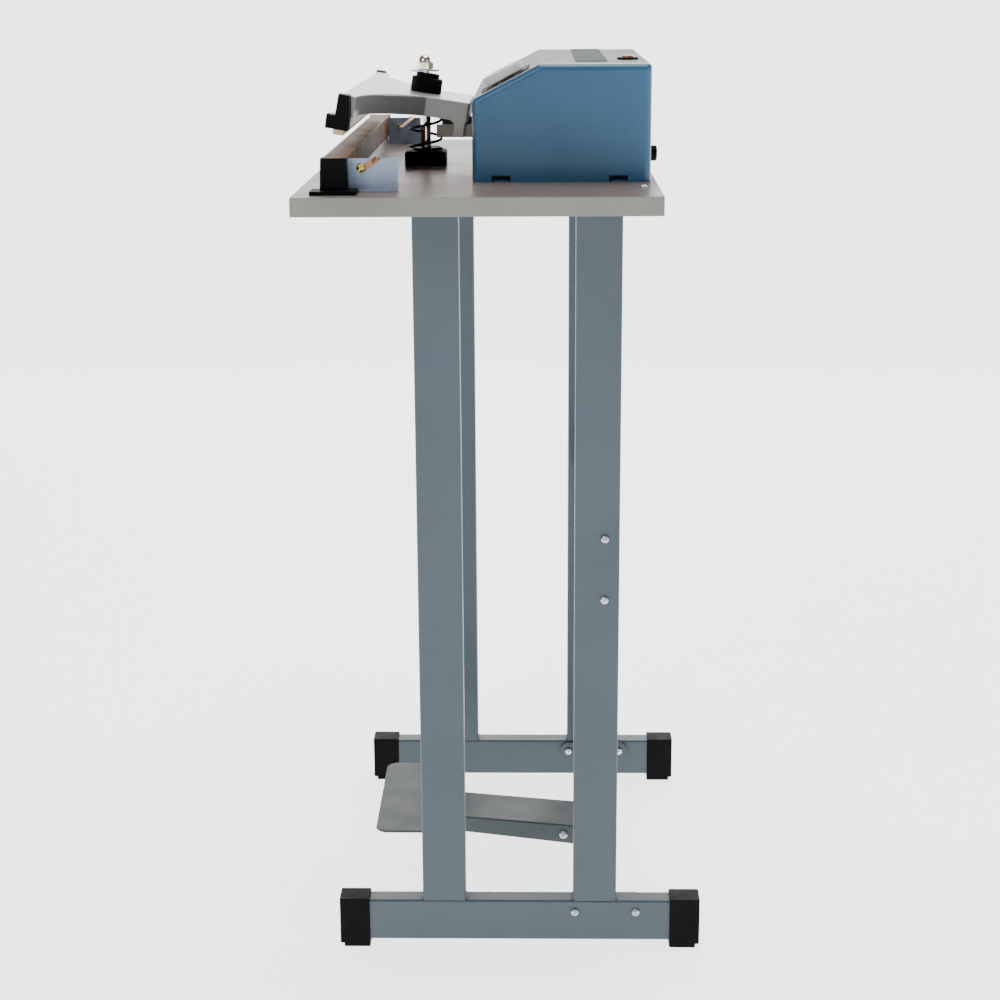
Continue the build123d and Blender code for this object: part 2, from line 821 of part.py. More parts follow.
with BuildPart() as upper_jaw_bar:
    with BuildSketch(side_of(arm_frame, 0)):
        with BuildLine():
            Polyline(
                (jaw_flange_front, jaw_bottom),
                (jaw_back, jaw_bottom),
                (jaw_back, web_under),
                (arm_front + arm_sheet, web_under),
                (arm_front + arm_sheet, jaw_flange_top),
                (jaw_flange_front, jaw_flange_top),
                close=True,
            )
        make_face()
    extrude(amount=arm_half_length - arm_sheet, both=True)
save(upper_jaw_bar, "upper_jaw_bar")

with BuildPart() as jaw_end_caps:
    for side in (-1, 1):
        with BuildSketch(side_of(arm_frame, side * arm_half_length)):
            with BuildLine():
                Polyline(
                    (jaw_flange_front - cap_margin, jaw_bottom),
                    (jaw_back + cap_margin, jaw_bottom),
                    (jaw_back + cap_margin, jaw_flange_top + cap_margin),
                    (jaw_back - cap_margin, arm_top + cap_margin),
                    (arm_front - cap_margin / 2, arm_top + cap_margin),
                    (arm_front - cap_margin, jaw_flange_top + cap_margin),
                    (jaw_flange_front - cap_margin, jaw_flange_top + cap_margin),
                    close=True,
                )
            make_face()
        extrude(amount=side * cap_thickness)
        end_face = jaw_end_caps.faces().sort_by(Axis.X)[-1 if side > 0 else 0]
        fillet(end_face.edges(), cap_margin / 2)
save(jaw_end_caps, "jaw_end_caps")

strip_half = arm_half_length + cap_thickness - strip_inset
jaw_top = lower_jaw_top + element_thickness + cloth_thickness
strip_height = hinge_z + jaw_bottom - jaw_top - seal_gap
with BuildPart() as sealing_strip:
    with BuildSketch(arm_frame.offset(jaw_bottom)):
        with Locations((0, jaw_y)):
            Rectangle(2 * strip_half, strip_width)
    extrude(amount=-strip_height)
save(sealing_strip, "sealing_strip")

# ---------------------------------------------------------------- hinge
ear_face = half_neck - arm_sheet - hinge_ear_gap
with BuildPart() as hinge_bracket:
    ear_low = hinge_z - hinge_ear_below
    ear_high = hinge_z + hinge_ear_above
    with BuildSketch(Plane.XY.offset(ear_low)):
        with Locations((0, box_front - hinge_back_plate / 2)):
            Rectangle(2 * ear_face, hinge_back_plate)
    extrude(amount=ear_high - ear_low)
    for side in (-1, 1):
        with BuildSketch(side_plane(side * ear_face)):
            with BuildLine():
                Polyline(
                    (box_front, ear_low),
                    (hinge_ear_front, ear_low),
                    (hinge_ear_front, ear_high),
                    (box_front, ear_high),
                    close=True,
                )
            make_face()
            with Locations((hinge_y, hinge_z)):
                Circle(hinge_pin_d / 2, mode=Mode.SUBTRACT)
        extrude(amount=-side * hinge_ear_thickness)
save(hinge_bracket, "hinge_bracket")

with BuildPart() as hinge_pin:
    with BuildSketch(side_plane(0)):
        with Locations((hinge_y, hinge_z)):
            Circle(hinge_pin_d / 2)
    extrude(amount=half_neck, both=True)
save(hinge_pin, "hinge_pin")

# ---------------------------------------------------------------- lower jaw
lower_y = hinge_y + jaw_y
bar_back = lower_y + lower_jaw_width / 2

with BuildPart() as lower_jaw_bar:
    with BuildSketch(side_plane(0)):
        with Locations((lower_y, (table_height + lower_jaw_top) / 2)):
            Rectangle(lower_jaw_width, lower_jaw_top - table_height)
    extrude(amount=lower_jaw_half, both=True)
save(lower_jaw_bar, "lower_jaw_bar")

with BuildPart() as heating_element:
    with BuildSketch(Plane.XY.offset(lower_jaw_top)):
        with Locations((0, lower_y)):
            Rectangle(2 * lower_jaw_half, element_width)
    extrude(amount=element_thickness)
save(heating_element, "heating_element")

with BuildPart() as ptfe_cloth:
    cloth_low = jaw_top - cloth_drop
    with BuildSketch(side_plane(0)):
        with Locations((lower_y, (cloth_low + jaw_top) / 2)):
            Rectangle(lower_jaw_width + 2 * cloth_thickness, cloth_drop)
        with Locations((lower_y, (cloth_low + lower_jaw_top) / 2)):
            Rectangle(lower_jaw_width, lower_jaw_top - cloth_low, mode=Mode.SUBTRACT)
        with Locations((lower_y, lower_jaw_top + element_thickness / 2)):
            Rectangle(element_width, element_thickness, mode=Mode.SUBTRACT)
    extrude(amount=lower_jaw_half, both=True)
save(ptfe_cloth, "ptfe_cloth")

with BuildPart() as jaw_supports:
    for side in (-1, 1):
        with BuildSketch(side_plane(side * lower_jaw_half)):
            with Locations((lower_y, (table_height + jaw_top) / 2)):
                Trapezoid(support_width, jaw_top - table_height, support_slope)
        extrude(amount=side * support_thickness)
        with BuildSketch(Plane.XY.offset(table_height)):
            reach = support_thickness + support_flange_reach
            with Locations((side * (lower_jaw_half + reach / 2), lower_y)):
                Rectangle(reach, support_flange)
        extrude(amount=support_flange_height)
    fillet(jaw_supports.edges().filter_by(Axis.Z), support_round)
save(jaw_supports, "jaw_supports")

bracket_y = bar_back + cloth_thickness + bracket_depth / 2
terminal_y = bracket_y - bracket_depth / 2 + terminal_setback

with BuildPart() as element_brackets:
    for side in (-1, 1):
        with BuildSketch(side_plane(side * bracket_x)):
            with Locations((bracket_y, table_height + element_bracket_height / 2)):
                Rectangle(bracket_depth, element_bracket_height)
            with Locations((terminal_y, terminal_z)):
                Circle(terminal_d / 2, mode=Mode.SUBTRACT)
        extrude(amount=side * bracket_thickness)
        with BuildSketch(Plane.XY.offset(table_height)):
            with Locations((side * (bracket_x + bracket_foot / 2), bracket_y)):
                Rectangle(bracket_foot, bracket_depth)
        extrude(amount=bracket_thickness)
save(element_brackets, "element_brackets")

with BuildPart() as element_leads:
    for side in (-1, 1):
        lug_x = side * (bracket_x + bracket_thickness)
        with BuildSketch(side_plane(lug_x)):
            with Locations((terminal_y, terminal_z)):
                Circle(terminal_head_d / 2)
            with Locations(((terminal_y + bar_back + cloth_thickness) / 2, terminal_z)):
                Rectangle(terminal_y - bar_back - cloth_thickness, lug_width)
            with Locations((terminal_y, terminal_z)):
                Circle(terminal_d / 2, mode=Mode.SUBTRACT)
        extrude(amount=side * lug_thickness)
save(element_leads, "element_leads")

with BuildPart() as terminal_screws:
    for side in (-1, 1):
        head_face = side * (bracket_x + bracket_thickness + lug_thickness)
        with BuildSketch(side_plane(head_face)):
            with Locations((terminal_y, terminal_z)):
                Circle(terminal_head_d / 2)
        extrude(amount=side * terminal_head_h)
        with BuildSketch(side_plane(head_face)):
            with Locations((terminal_y, terminal_z)):
                Circle(terminal_d / 2)
        extrude(amount=-side * (lug_thickness + bracket_thickness + terminal_head_h))
save(terminal_screws, "terminal_screws")

# ---------------------------------------------------------------- control box


def box_section(inset, low):
    """Outline of the box seen from the side, its walls moved in by the inset, with bent corners."""
    rise = box_height - box_front_height
    slack = inset * (slant_length - rise) / box_slant_depth
    shift = inset * (slant_length - box_slant_depth) / rise
    with BuildSketch() as section:
        with BuildLine():
            Polyline(
                (box_front + inset, low),
                (box_front + inset, table_height + box_front_height - slack),
                (box_front + box_slant_depth + shift, box_top - inset),
                (box_back - inset, box_top - inset),
                (box_back - inset, low),
                close=True,
            )
        make_face()
        bends = section.vertices().filter_by(lambda corner: corner.Y > low + box_front_height / 2)
        fillet(bends, bend_radius - inset)
    return section.sketch


rocker_skin = rocker_gap + rocker_wall
with BuildPart() as wrap_cover:
    cover_reach = box_half_width - side_depth
    with BuildSketch(side_plane(0)):
        add(box_section(0, table_height))
        add(box_section(sheet, table_height - sheet), mode=Mode.SUBTRACT)
    extrude(amount=cover_reach, both=True)
    with BuildSketch(panel_frame):
        with Locations((dial_x, 0)):
            Circle(spindle_hole_d / 2)
        with Locations((rocker_x, 0)):
            Rectangle(rocker_width + 2 * rocker_skin, 2 * (rocker_radius + rocker_skin))
        with Locations((lamp_x, 0)):
            Circle(lamp_stem_d / 2)
    extrude(amount=sheet * 2, both=True, mode=Mode.SUBTRACT)
    with BuildSketch(Plane.XY.offset(box_top)):
        with Locations((fuse_x, fuse_y)):
            Circle(fuse_body_d / 2)
    extrude(amount=-sheet, mode=Mode.SUBTRACT)
    with BuildSketch(Plane(origin=(gland_x, box_back, gland_z), x_dir=(1, 0, 0), z_dir=(0, -1, 0))):
        Circle(gland_neck_d / 2)
    extrude(amount=sheet, mode=Mode.SUBTRACT)
save(wrap_cover, "wrap_cover")


def side_block(side, inset, rounding):
    """Solid in the shape of the box's end, its walls moved in by the inset."""
    face_x = side * (box_half_width - inset)
    low = table_height - inset
    with BuildPart() as block:
        with BuildSketch(side_plane(face_x)):
            add(box_section(inset, low))
        extrude(amount=-side * side_depth)
        face = block.faces().sort_by(Axis.X)[-1 if side > 0 else 0]
        fillet(face.edges().filter_by(lambda edge: edge.center().Z > low + rounding), rounding)
    return block.part


def side_panel(side):
    """Pressed side of the box with a rolled rim and two notches for the fixing tabs."""
    cavity = side_block(side, sheet, side_round - sheet)
    with BuildPart() as panel:
        add(side_block(side, 0, side_round))
        add(cavity, mode=Mode.SUBTRACT)
        with BuildSketch(side_plane(side * box_half_width)):
            for place in notch_places:
                with Locations((place, table_height + notch_height / 2)):
                    Rectangle(notch_width, notch_height)
        extrude(amount=-side * notch_depth, mode=Mode.SUBTRACT)
    return panel


side_panel_left = side_panel(-1)
save(side_panel_left, "side_panel_left")
side_panel_right = side_panel(1)
save(side_panel_right, "side_panel_right")

box_middle_y = (box_front + box_back) / 2
pan_depth = box_back - box_front - 2 * sheet
tab_x = cover_reach + tab_reach / 2
case_screw_places = [(side * tab_x, place) for side in (-1, 1) for place in notch_places]

with BuildPart() as base_pan:
    with BuildSketch(Plane.XY.offset(table_height)):
        with Locations((0, box_middle_y)):
            Rectangle(2 * cover_reach, pan_depth)
        for side in (-1, 1):
            for place in notch_places:
                with Locations((side * tab_x, place)):
                    Rectangle(tab_reach, notch_width - 2 * sheet)
        with Locations(*case_screw_places):
            Circle(small_screw_d / 2, mode=Mode.SUBTRACT)
    extrude(amount=sheet)
    with BuildSketch(Plane.XY.offset(table_height)):
        with Locations((0, box_middle_y)):
            Rectangle(2 * cover_reach, pan_depth)
            Rectangle(2 * (cover_reach - sheet), pan_depth - 2 * sheet, mode=Mode.SUBTRACT)
    extrude(amount=pan_lip)
save(base_pan, "base_pan")

case_screws = headed_screws(Plane.XY.offset(table_height + sheet), case_screw_places,
                            (small_head_d, small_head_h), (small_screw_d, sheet))
save(case_screws, "case_screws")

with BuildPart() as dial_plate:
    with BuildSketch(panel_frame):
        with Locations((dial_x, 0)):
            RectangleRounded(dial_width, dial_depth, dial_corner)
            Circle(spindle_hole_d / 2, mode=Mode.SUBTRACT)
    extrude(amount=dial_thickness)
save(dial_plate, "dial_plate")

knob_base = dial_thickness + knob_lift
with BuildPart() as timer_knob:
    with BuildSketch(panel_frame.offset(knob_base)):
        with Locations((dial_x, 0)):
            Circle(knob_d / 2)
    extrude(amount=knob_height)
    knob_axis = Axis(panel_frame.origin, panel_frame.z_dir)
    fillet(timer_knob.faces().sort_by(knob_axis)[-1].edges(), knob_round)
    with BuildSketch(panel_frame.offset(knob_base)):
        with Locations((dial_x, 0)):
            Circle(spindle_d / 2)
    extrude(amount=-spindle_length)
save(timer_knob, "timer_knob")

with BuildPart() as timer_body:
    with BuildSketch(panel_frame.offset(-sheet)):
        with Locations((dial_x, 0)):
            RectangleRounded(timer_size, timer_size, timer_corner)
    extrude(amount=-timer_depth)
    with BuildSketch(panel_frame.offset(-sheet)):
        with Locations((dial_x, 0)):
            Circle(spindle_d / 2 + running_clearance)
    extrude(amount=-(spindle_length - knob_base), mode=Mode.SUBTRACT)
save(timer_body, "timer_body")


def rocker_side(x):
    """Sketch plane square to X at the rocker's pivot: sketch x runs up the slant."""
    return Plane(origin=panel_frame.from_local_coords((x, 0, 0)), x_dir=panel_frame.y_dir,
                 z_dir=panel_frame.x_dir)


cavity_radius = rocker_radius + rocker_gap
with BuildPart() as rocker_frame:
    with BuildSketch(panel_frame):
        with Locations((rocker_x, 0)):
            RectangleRounded(rocker_frame_width, rocker_frame_depth, rocker_frame_corner)
    extrude(amount=rocker_frame_thickness)
    with BuildSketch(panel_frame):
        with Locations((rocker_x, 0)):
            Rectangle(rocker_width + 2 * rocker_skin, 2 * (rocker_radius + rocker_skin))
    extrude(amount=-rocker_body_depth)
    with BuildSketch(rocker_side(rocker_x)):
        Circle(cavity_radius)
        with Locations((0, cavity_radius / 2)):
            Rectangle(2 * cavity_radius, cavity_radius)
    extrude(amount=rocker_width / 2 + rocker_gap, both=True, mode=Mode.SUBTRACT)
save(rocker_frame, "rocker_frame")

with BuildPart() as power_rocker:
    rise = radians(rocker_tilt)
    crown = rocker_frame_thickness + 2 * rocker_gap
    with BuildSketch(rocker_side(rocker_x)):
        Circle(rocker_radius)
        with BuildLine():
            Polyline(
                (0, crown),
                (rocker_radius * 2, crown),
                (rocker_radius * 2, rocker_radius * 2),
                (-rocker_radius * 2, rocker_radius * 2),
                (-rocker_radius * 2, crown + rocker_radius * 4 * sin(rise)),
                close=True,
            )
        make_face(mode=Mode.SUBTRACT)
    extrude(amount=rocker_width / 2, both=True)
save(power_rocker, "power_rocker")

with BuildPart() as indicator_lamp:
    with BuildSketch(panel_frame):
        with Locations((lamp_x, 0)):
            Circle(lamp_d / 2)
    extrude(amount=lamp_height)
    fillet(indicator_lamp.faces().sort_by(knob_axis)[-1].edges(), lamp_round)
    with BuildSketch(panel_frame):
        with Locations((lamp_x, 0)):
            Circle(lamp_stem_d / 2)
    extrude(amount=-lamp_stem)
save(indicator_lamp, "indicator_lamp")

with BuildPart() as label_plate:
    with BuildSketch(Plane.XY.offset(box_top)):
        with Locations((label_x, label_y)):
            Rectangle(label_width, label_depth)
    extrude(amount=label_thickness)
save(label_plate, "label_plate")

with BuildPart() as fuse_holder:
    with BuildSketch(Plane.XY.offset(box_top)):
        with Locations((fuse_x, fuse_y)):
            Circle(fuse_flange_d / 2)
    extrude(amount=fuse_flange_h)
    chamfer(fuse_holder.faces().sort_by(Axis.Z)[-1].edges(), fuse_chamfer)
    with BuildSketch(Plane.XY.offset(box_top + fuse_flange_h)):
        with Locations((fuse_x, fuse_y)):
            Circle(fuse_cap_d / 2)
    extrude(amount=fuse_cap_h)
    with BuildSketch(Plane.XY.offset(box_top)):
        with Locations((fuse_x, fuse_y)):
            Circle(fuse_body_d / 2)
    extrude(amount=-fuse_body)
save(fuse_holder, "fuse_holder")

with BuildPart() as cable_gland:
    outside = Plane(origin=(gland_x, box_back, gland_z), x_dir=(1, 0, 0), z_dir=(0, 1, 0))
    with BuildSketch(outside):
        Circle(gland_d / 2)
    extrude(amount=gland_reach)
    fillet(cable_gland.faces().sort_by(Axis.Y)[-1].edges(), gland_round)
    with BuildSketch(outside):
        Circle(gland_neck_d / 2)
    extrude(amount=-(sheet + gland_nut))
    with BuildSketch(outside.offset(-sheet)):
        RegularPolygon(gland_nut_flats / 2, 6, major_radius=False)
    extrude(amount=-gland_nut)
    with BuildSketch(outside.offset(gland_reach)):
        Circle(gland_bore_d / 2)
    extrude(amount=-(gland_reach + sheet + gland_nut), mode=Mode.SUBTRACT)
save(cable_gland, "cable_gland")

# ---------------------------------------------------------------- inside the box
core_x, core_y = core_centre
core_low = table_height + sheet + core_lift
window_width = (core_width - 4 * core_leg) / 2
window_height = core_height - 2 * core_leg
window_x = core_leg + window_width / 2

with BuildPart() as transformer_core:
    with BuildSketch(Plane.XZ.offset(-core_y)):
        with Locations((core_x, core_low + core_height / 2)):
            Rectangle(core_width, core_height)
            with GridLocations(2 * window_x, 1, 2, 1):
                Rectangle(window_width, window_height, mode=Mode.SUBTRACT)
    extrude(amount=core_depth / 2, both=True)
    with BuildSketch(Plane.XY.offset(table_height + sheet)):
        with Locations((core_x, core_y)):
            Rectangle(core_width - 2 * core_foot_margin, core_depth - 2 * core_foot_margin)
    extrude(amount=core_lift)
save(transformer_core, "transformer_core")

with BuildPart() as transformer_coil:
    coil_x = 2 * (core_leg + window_width - coil_gap)
    coil_y = core_depth + 2 * coil_overhang
    with BuildSketch(Plane.XY.offset(core_low + core_leg + coil_gap)):
        with Locations((core_x, core_y)):
            RectangleRounded(coil_x, coil_y, coil_corner)
            Rectangle(2 * (core_leg + coil_gap), core_depth + 2 * coil_gap, mode=Mode.SUBTRACT)
    extrude(amount=window_height - 2 * coil_gap)
save(transformer_coil, "transformer_coil")

with BuildPart() as timer_board:
    board_low = table_height + sheet + standoff
    board_x, board_y = board_centre
    corner_gap = 2 * standoff_d
    with BuildSketch(Plane.XY.offset(board_low)):
        with Locations(board_centre):
            Rectangle(*board_size)
    extrude(amount=pcb_thickness)
    with BuildSketch(Plane.XY.offset(table_height + sheet)):
        with Locations(board_centre):
            with GridLocations(board_size[0] - corner_gap, board_size[1] - corner_gap, 2, 2):
                Circle(standoff_d / 2)
    extrude(amount=standoff)
    with BuildSketch(Plane.XY.offset(board_low + pcb_thickness)):
        with Locations((board_x - board_size[0] / 4, board_y), (board_x + board_size[0] / 4, board_y)):
            Rectangle(relay_size[0], relay_size[1])
    extrude(amount=relay_size[2])
save(timer_board, "timer_board")

with BuildPart() as micro_switch:
    with BuildSketch(Plane.XY.offset(table_height + sheet)):
        with Locations(switch_centre):
            Rectangle(switch_size[0], switch_size[1])
    extrude(amount=switch_size[2])
save(micro_switch, "micro_switch")
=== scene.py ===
"""Looks of the foot-pedal impulse heat sealer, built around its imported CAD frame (metres)."""

import json
import math
import random

import bmesh
import bpy
from mathutils import Matrix, Vector, noise


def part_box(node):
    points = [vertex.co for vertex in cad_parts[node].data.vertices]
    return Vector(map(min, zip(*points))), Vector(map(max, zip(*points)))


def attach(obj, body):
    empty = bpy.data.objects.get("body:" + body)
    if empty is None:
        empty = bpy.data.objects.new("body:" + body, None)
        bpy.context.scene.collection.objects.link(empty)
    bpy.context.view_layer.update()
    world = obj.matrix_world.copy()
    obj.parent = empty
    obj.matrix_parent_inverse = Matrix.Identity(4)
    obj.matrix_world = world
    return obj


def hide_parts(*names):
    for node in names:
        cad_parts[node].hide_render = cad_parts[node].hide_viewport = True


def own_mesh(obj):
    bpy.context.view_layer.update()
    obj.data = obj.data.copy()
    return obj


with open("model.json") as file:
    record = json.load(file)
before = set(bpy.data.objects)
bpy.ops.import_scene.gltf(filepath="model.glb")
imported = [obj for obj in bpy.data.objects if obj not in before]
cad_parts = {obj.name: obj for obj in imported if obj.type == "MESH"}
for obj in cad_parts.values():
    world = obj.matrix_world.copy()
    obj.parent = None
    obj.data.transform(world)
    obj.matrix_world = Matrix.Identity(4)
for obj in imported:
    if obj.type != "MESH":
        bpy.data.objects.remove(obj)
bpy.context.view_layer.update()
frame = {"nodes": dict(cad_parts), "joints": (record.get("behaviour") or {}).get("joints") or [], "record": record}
nodes = frame["nodes"]
MM = 0.001
random.seed(7)


# ------------------------------------------------------------------ materials
BEVEL_SAMPLES = 4
WORN_EDGE = 1.2 * MM
WORN_PATCH_SCALE = 90.0


def material(name, colours, rough, metallic=0.0, patch=6.0, mottle=140.0, mottle_share=0.35,
             bumps=(), coat=0.0, coat_rough=0.08, worn=None, bevel=0.5, ior=1.5, anisotropic=0.0,
             stretch=(1, 1, 1), specks=None):
    """Principled material: two tones in patches, drifting roughness, bumps, rounded and worn edges.

    patch and mottle are noise scales per metre, mottle_share the fine one's part of the blend.
    bumps are (kind, scale, height in mm), worn is (colour, roughness, share), bevel is in mm.
    """
    made = bpy.data.materials.new(name)
    made.use_nodes = True
    tree = made.node_tree
    tree.nodes.clear()
    new, link = tree.nodes.new, tree.links.new
    shader = new("ShaderNodeBsdfPrincipled")
    link(shader.outputs["BSDF"], new("ShaderNodeOutputMaterial").inputs["Surface"])
    shader.inputs["Metallic"].default_value = metallic
    shader.inputs["IOR"].default_value = ior
    shader.inputs["Coat Weight"].default_value = coat
    shader.inputs["Coat Roughness"].default_value = coat_rough
    shader.inputs["Anisotropic"].default_value = anisotropic
    place = new("ShaderNodeTexCoord")
    mapping = new("ShaderNodeMapping")
    mapping.inputs["Scale"].default_value = stretch
    link(place.outputs["Object"], mapping.inputs["Vector"])

    def cloud(scale, detail=3.0, roughness=0.55):
        node = new("ShaderNodeTexNoise")
        node.inputs["Scale"].default_value = scale
        node.inputs["Detail"].default_value = detail
        node.inputs["Roughness"].default_value = roughness
        link(mapping.outputs["Vector"], node.inputs["Vector"])
        return node.outputs["Fac"]

    def ranged(source, low, high, start=0.35, end=0.65):
        node = new("ShaderNodeMapRange")
        node.interpolation_type = "SMOOTHSTEP"
        node.inputs["From Min"].default_value = start
        node.inputs["From Max"].default_value = end
        node.inputs["To Min"].default_value = low
        node.inputs["To Max"].default_value = high
        link(source, node.inputs["Value"])
        return node.outputs["Result"]

    def mixed(factor, a, b):
        node = new("ShaderNodeMix")
        node.data_type = "RGBA"
        link(factor, node.inputs["Factor"])
        for socket, value in ((node.inputs[6], a), (node.inputs[7], b)):
            if isinstance(value, tuple):
                socket.default_value = (*value, 1.0)
            else:
                link(value, socket)
        return node.outputs[2]

    first, second = colours
    blend = new("ShaderNodeMath")
    blend.operation = "ADD"
    link(ranged(cloud(patch), 0.0, 1.0 - mottle_share), blend.inputs[0])
    link(ranged(cloud(mottle, 2.0), 0.0, mottle_share), blend.inputs[1])
    colour = mixed(blend.outputs[0], first, second)
    if specks:
        speck_scale, speck_colour, speck_edge = specks
        grains = new("ShaderNodeTexVoronoi")
        grains.inputs["Scale"].default_value = speck_scale
        link(mapping.outputs["Vector"], grains.inputs["Vector"])
        colour = mixed(ranged(grains.outputs["Distance"], 1.0, 0.0, speck_edge, speck_edge + 0.12),
                       colour, speck_colour)

    rounded = new("ShaderNodeBevel")
    rounded.samples = BEVEL_SAMPLES
    rounded.inputs["Radius"].default_value = bevel * MM
    low, high = rough
    roughness = ranged(cloud(patch * 3, 4.0), low, high, 0.25, 0.75)
    if worn:
        worn_colour, worn_rough, share = worn
        geometry = new("ShaderNodeNewGeometry")
        edge = new("ShaderNodeBevel")
        edge.samples = BEVEL_SAMPLES
        edge.inputs["Radius"].default_value = WORN_EDGE
        dot = new("ShaderNodeVectorMath")
        dot.operation = "DOT_PRODUCT"
        link(edge.outputs["Normal"], dot.inputs[0])
        link(geometry.outputs["Normal"], dot.inputs[1])
        rub = new("ShaderNodeMath")
        rub.operation = "MULTIPLY"
        link(ranged(dot.outputs["Value"], 1.0, 0.0, 0.80, 0.97), rub.inputs[0])
        link(ranged(cloud(WORN_PATCH_SCALE, 5.0), 0.0, share, 0.45, 0.62), rub.inputs[1])
        colour = mixed(rub.outputs[0], colour, worn_colour)
        rough_mix = new("ShaderNodeMix")
        rough_mix.data_type = "FLOAT"
        link(rub.outputs[0], rough_mix.inputs["Factor"])
        link(roughness, rough_mix.inputs[2])
        rough_mix.inputs[3].default_value = worn_rough
        roughness = rough_mix.outputs[0]
    link(colour, shader.inputs["Base Color"])
    link(roughness, shader.inputs["Roughness"])

    normal = rounded.outputs["Normal"]
    for kind, scale, height in bumps:
        if kind == "noise":
            source = cloud(scale, 2.0)
        else:
            pattern = new("ShaderNodeTexVoronoi" if kind == "cells" else "ShaderNodeTexWave")
            pattern.inputs["Scale"].default_value = scale
            link(mapping.outputs["Vector"], pattern.inputs["Vector"])
            source = pattern.outputs["Distance" if kind == "cells" else "Fac"]
            if kind != "cells":
                pattern.bands_direction = kind
        bump = new("ShaderNodeBump")
        bump.inputs["Strength"].default_value = 1.0
        bump.inputs["Distance"].default_value = height * MM
        link(source, bump.inputs["Height"])
        link(normal, bump.inputs["Normal"])
        normal = bump.outputs["Normal"]
    link(normal, shader.inputs["Normal"])
    return made


def rgb(red, green, blue):
    """Linear colour of an sRGB shade given in 0-255."""
    return tuple(
        value / 255 / 12.92 if value <= 10 else ((value / 255 + 0.055) / 1.055) ** 2.4
        for value in (red, green, blue)
    )


